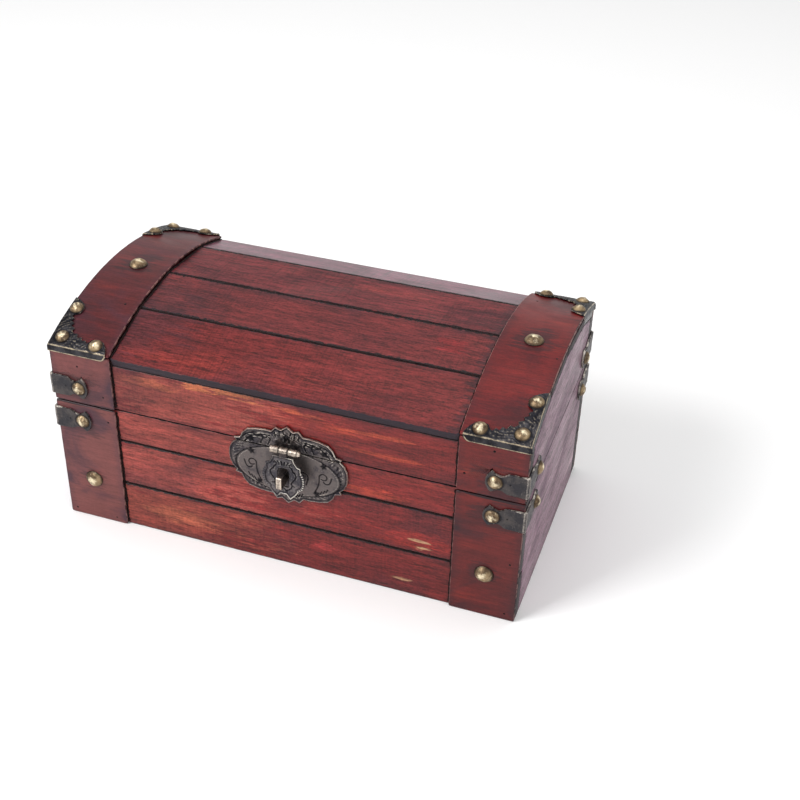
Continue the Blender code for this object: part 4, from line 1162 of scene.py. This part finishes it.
axis_y, axis_z = -0.0634, 0.0683
knuckle_radius = 0.0016 - sheet / 2
barrel_wear = np.r_[np.full(5, 0.05), np.full(30, 0.52)]
knuckle_thirds = ((-0.0063, -0.00225), (-0.00200, 0.00200), (0.00225, 0.0063))


def rolled(lead, first, last):
    """A straight lead of (y, z) points, and then a curl round the pin from one angle to another."""
    angle = np.radians(np.linspace(first, last, 30))
    curl = np.stack((axis_y + knuckle_radius * np.cos(angle), axis_z + knuckle_radius * np.sin(angle)), 1)
    return np.concatenate((np.stack(np.broadcast_arrays(*lead), 1), curl))


def third(number):
    """Stations along one third of the barrel."""
    first, last = knuckle_thirds[number]
    inner = np.linspace(first + 0.0006, last - 0.0006, 5)
    return hasp_x + np.array((first, first + 0.0002, *inner, last - 0.0002, last))


shelf = (np.linspace(plate_back_y - 0.0006, axis_y, 6)[:-1], axis_z - knuckle_radius)
# Their ends are darkened: painted shade in the gaps between the knuckles.
for number in (0, 2):
    worn_strip(f"hasp_knuckle_{number + 1}", rolled(shelf, -90, -395), third(number), "lid",
               "hasp_upper_plate", barrel_wear, 0.9)

pin_rings = turned_rings((
    (0, 0.0003), (0.0005, 0.0003), (0.0007, 0.00045), (0.00112, 0.0001), (0.00127, -0.0003), (0.00127, -0.0009),
    (0.00072, -0.0010), (0.00072, -0.0137), (0.0005, -0.0139), (0, -0.0139),
), 28)
pin_far = np.hypot(pin_rings[..., 0], pin_rings[..., 1])
pin_mesh = skin("hasp_pin", laid(pin_rings, (along_y, along_z, along_x), (0.0111, axis_y, axis_z)),
                {"wear": 0.7 * (pin_far > 0.0006), "hollow": 0.8 * (pin_far < 0.0006)})
piece("hasp_pin", pin_mesh, worn_bronze, "lid", ["hasp_hinge_pin"])

staple_bend = np.radians(np.linspace(0, 90, 6))
staple_round, staple_top, staple_low = 0.0006, 0.0578, 0.0522
staple_front = -0.0699
upper_bend = np.stack((staple_front + staple_round * (1 - np.sin(staple_bend)),
                       staple_top - staple_round * (1 - np.cos(staple_bend))), 1)
lower_bend = (upper_bend * (1, -1) + (0, staple_top + staple_low))[::-1]
staple_path = np.concatenate((
    [(y, staple_top) for y in np.linspace(plate_back_y, staple_front + staple_round, 8)[:-1]],
    upper_bend,
    [(staple_front, z) for z in np.linspace(staple_top - staple_round, staple_low + staple_round, 7)[1:-1]],
    lower_bend,
    [(y, staple_low) for y in np.linspace(staple_front + staple_round, plate_back_y, 8)[1:]],
))
staple_xs = hasp_x + np.array((-0.0012, -0.00105, -0.0008, -0.0004, 0, 0.0004, 0.0008, 0.00105, 0.0012))
# Only the staple's front face gets bright wear, a painted highlight on the face the light falls on; its top is
# kept darker as painted shade.
worn_strip("hasp_staple_strip", staple_path, staple_xs, "base", "hasp_staple",
           0.60 * (staple_path[:, 0] < staple_front + 0.0003), 0)


# ---- Flap: a slotted shield of the same sheet whose top is rolled round the pin.
# Its rim is pressed like a rope, and worn bright where fingers lift it.

flap_half, flap_drop = 0.0100, 0.0248
flap_right = np.array((
    (0.20, 0.085), (0.48, 0.090), (0.52, 0.16), (0.66, 0.25), (0.82, 0.27), (0.83, 0.35), (0.96, 0.45),
    (1.00, 0.56), (0.98, 0.66), (0.90, 0.74), (0.72, 0.79), (0.58, 0.88), (0.32, 1.00), (0.13, 0.90),
)) * (flap_half, -flap_drop)
flap_outline = np.concatenate((flap_right, (flap_right * (-1, 1))[::-1]))
slot_middle = np.array((0, -0.0133))
slot_half = np.array((0.00275, 0.0050))
flap_face_y = axis_y - 0.0012
flap_sheet = 0.0007


def slot_edge(directions):
    """Points of the slot's edge in given directions from its middle; its top is rounded."""
    unit = directions / np.linalg.norm(directions, axis=1)[:, None]
    power = np.where(unit[:, 1] > 0, 4.0, 12.0)
    reach = ((np.abs(unit) / slot_half) ** power[:, None]).sum(1) ** (-1 / power)
    return slot_middle + unit * reach[:, None]


def flap_mesh(seed):
    """A closed ring of sheet from the slot's edge out to the shield's outline and back."""
    outer = walked(flap_outline, 0.00016)
    inner = slot_edge(outer - slot_middle)
    face = between(inner, outer, (0, 0.02, 0.05, *np.linspace(0.09, 0.95, 44), 0.975, 1))
    near = from_line(face, np.concatenate((flap_outline, flap_outline[:1])))
    hole = np.linalg.norm(face - inner, axis=-1)
    level = -face[..., 1] / flap_drop
    roped = grow(level, 0.36, 0.04) * (1 - grow(level, 0.76, 0.04))
    gaps = 0.5 - 0.5 * np.cos(2 * np.pi * way_along(outer) / 0.0013)
    flat = roped * gaps
    ridge = hump(near - 0.00025 - 0.00030 * roped, 0.00024 + 0.00024 * roped)
    groove = hump(near - 0.00085 - 0.00065 * roped, 0.00032)
    lumps = ripple(face, seed, 0.0020)
    field = grow(near, 0.0013, 0.0004) * grow(hole, 0, 0.0008)
    arms = bending_line((4.4, -9.2), -20, (4.0, -0.25, -0.55), (4.0, -0.30, 0.10), (3.0, 0.5, 0.9))
    bow = bending_line((1.2, -20.2), 20, (4.2, 0.10, 0.35), (2.4, 0.6, 0.9))
    brow = bending_line((3.1, -6.9), -38, (3.0, -0.2, -0.1))
    fans = [bending_line((0.5 + 1.2 * k, -6.6 + 0.2 * k), 80 - 18 * k, (1.9, 0.1, -0.2)) for k in range(4)]
    diamond = np.array(((0.0, -18.9), (1.7, -20.9), (0.0, -23.0), (-1.7, -20.9), (0.0, -18.9))) / 1000
    cut_relief, cut, burr = engraved(face, [*mirrored(arms, bow, brow, *fans), diamond])
    handled = 0.35 + 0.75 * np.clip(face[..., 0] / 0.006, -0.4, 1) + 0.5 * grow(level, 0.7, 0.2)
    wear = (0.95 * np.clip(handled, 0.3, 1) * ridge * (1 - flat) + 0.3 * burr * field
            + 0.35 * hump(hole, 0.0003) + 0.12 * field * np.clip(lumps, 0, 1))
    hollow = 0.8 * groove + 0.9 * cut * field + 0.8 * ridge * flat * gaps + 0.3 * field * np.clip(-lumps, 0, 1)
    high = flap_sheet / 2 + 0.00022 * ridge * (1 - 0.8 * flat) - 0.00012 * groove
    high = high + (0.00007 * lumps + cut_relief) * field
    high[[0, -1]] -= 0.0002
    rings = np.concatenate((lifted(face, high), lifted(between(inner, outer, (1, 0.5, 0)), -flap_sheet / 2)))
    rings = np.concatenate((rings, rings[:1]))
    marks = {"wear": np.clip(wear, 0, 1), "hollow": np.clip(hollow, 0, 1)}
    plain = np.zeros((3, len(outer)))
    marks = {mark: np.concatenate((values, plain, values[:1])) for mark, values in marks.items()}
    rings = rings[..., (0, 2, 1)] * (1, -1, 1) + (hasp_x, flap_face_y, axis_z)
    return skin("hasp_flap_shield", rings, marks, 40)


flap_steel = plated("blue grey plating", (0.064, 0.060, 0.069), (0.165, 0.148, 0.148), (0.66, 0.62, 0.55))
piece("hasp_flap_shield", flap_mesh(790), flap_steel, "flap", ["hasp_flap"])
neck = (flap_face_y, np.linspace(axis_z - 0.0032, axis_z, 6)[:-1])
worn_strip("hasp_flap_knuckle", rolled(neck, 180, -130), third(1), "flap", "hasp_flap", barrel_wear, 0.9)


# ---- Brads: small headless nails through the bands into the boards, sunk and gone black.
# They stand unevenly, as they were driven, and the back has the same ones as the front.

brad_steel = plated("black nail iron", (0.010, 0.009, 0.010), (0.020, 0.017, 0.018), (0.22, 0.19, 0.17))
brad_places = {
    ("base", "left"): ((-83.9, 58.8), (-106.6, 3.1), (-85.3, 2.8)),
    ("base", "right"): ((105.4, 3.5), (105.8, 32.0)),
    ("lid", "left"): ((-96.6, 86.3), (-85.0, 72.3)),
    ("lid", "right"): ((95.1, 89.7), (83.2, 75.5)),
}
brad_rings = turned_rings(
    ((0, 0.00005), (0.0004, 0.00004), (0.00055, -0.00003), (0.00055, -0.0006), (0, -0.0006)), 14)
for face, outward in wall_faces:
    for (body, side), places in brad_places.items():
        for number, (x, z) in enumerate(places, 1):
            name = f"{body}_brad_{face}_{side}_{number}"
            middle = (x / 1000, outward * half_depth, z / 1000)
            mesh = skin(name, laid(brad_rings, (along_x, along_z, outward * along_y), middle))
            piece(name, mesh, brad_steel, body)

dome_brads = ((-108.7, -17.0), (86.2, 43.7), (107.6, 20.0), (107.4, -10.0), (-86.4, -30.0), (-108.5, 30.0))
for number, (x, y) in enumerate(dome_brads, 1):
    name = f"lid_brad_dome_{number}"
    middle, along, out = on_dome(x / 1000, np.arcsin(y / 1000 / dome_radius), dome_radius)
    piece(name, skin(name, laid(brad_rings, (along_x, along, out), middle)), brad_steel, "lid")


# ---- Rear hinges: two small butt hinges, each of two leaves nailed to the back and a pin.
# They are stamped brass, and keep the shapes of the model, with an aged finish.

hinge_brass = plated("dull brass", (0.120, 0.072, 0.030), (0.360, 0.240, 0.105), (0.800, 0.640, 0.380))
for side in ("left", "right"):
    for part in ("base_leaf", "lid_leaf", "pin"):
        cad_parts[f"rear_hinge_{side}_{part}"].material_slots[0].material = hinge_brass


# ---- Floor, walls of light and camera: a pale studio table under broad soft lamps.
# None of it is part of the chest.

floor_material, floor_shader = blank("pale table")[:2]
floor_shader.inputs["Base Color"].default_value = (1, 1, 1, 1)
floor_shader.inputs["Roughness"].default_value = 0.9
floor_shader.inputs["Specular IOR Level"].default_value = 0.1
floor_mesh = bpy.data.meshes.new("table")
floor_mesh.from_pydata([(-8, -8, 0), (8, -8, 0), (8, 8, 0), (-8, 8, 0)], [], [(0, 1, 2, 3)])
floor_mesh.materials.append(floor_material)
floor = bpy.data.objects.new("table", floor_mesh)
bpy.context.scene.collection.objects.link(floor)
floor.location.z = -0.0002
floor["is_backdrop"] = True

world = bpy.data.worlds.new("studio")
bpy.context.scene.world = world
world.use_nodes = True
backdrop = world.node_tree.nodes["Background"]
backdrop.inputs["Color"].default_value = (1, 1, 1, 1)
rays = ports(world.node_tree.nodes.new("ShaderNodeLightPath").outputs)
seen = rays["Is Camera Ray"].most(rays["Is Glossy Ray"]).most(rays["Is Transmission Ray"])
feed(backdrop.inputs, Strength=seen.ramp(0, 1, 0.50, 1.0))


def set_up(item, place, back, roll=0.0):
    """A lamp or a camera put at a place with its back towards a direction, level but for a roll."""
    back = np.array(back) / np.linalg.norm(back)
    right = np.cross(along_z, back)
    right /= np.linalg.norm(right)
    up = np.cross(back, right)
    right, up = right * np.cos(roll) - up * np.sin(roll), up * np.cos(roll) + right * np.sin(roll)
    turn = Matrix(np.stack((right, up, back), 1).tolist()).to_4x4()
    item.matrix_world = Matrix.Translation(place) @ turn
    bpy.context.scene.collection.objects.link(item)


lamps = (
    ("key", (-0.75, -0.85, 1.05), (0, 0, 0.05), 0.6, 16),
    ("fill", (0.95, -0.70, 0.70), (0, 0, 0.05), 0.9, 4),
    ("top", (0.1, 0.35, 1.30), (0, 0, 0.08), 1.0, 5),
)
for name, place, towards, size, power in lamps:
    lamp = bpy.data.lights.new(name, "AREA")
    lamp.shape = "SQUARE"
    lamp.size = size
    lamp.energy = power
    set_up(bpy.data.objects.new(name, lamp), place, np.array(place) - towards)

lens = bpy.data.cameras.new("camera")
camera = bpy.data.objects.new("camera", lens)
bpy.context.scene.camera = camera
lens.sensor_width = 36
lens.lens = 36 * 1361.6 / 800
lens.shift_x = (400 - 336) / 800
lens.shift_y = (427 - 400) / 800
lens.clip_start = 0.01
lens.clip_end = 50
turn, rise, roll = np.radians((20.70, 35.87, 0.05))
camera_back = (np.sin(turn) * np.cos(rise), -np.cos(turn) * np.cos(rise), np.sin(rise))
set_up(camera, (0.19051, -0.49349, 0.41963), camera_back, roll)

bpy.context.scene.view_settings.view_transform = "Standard"

low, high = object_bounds()
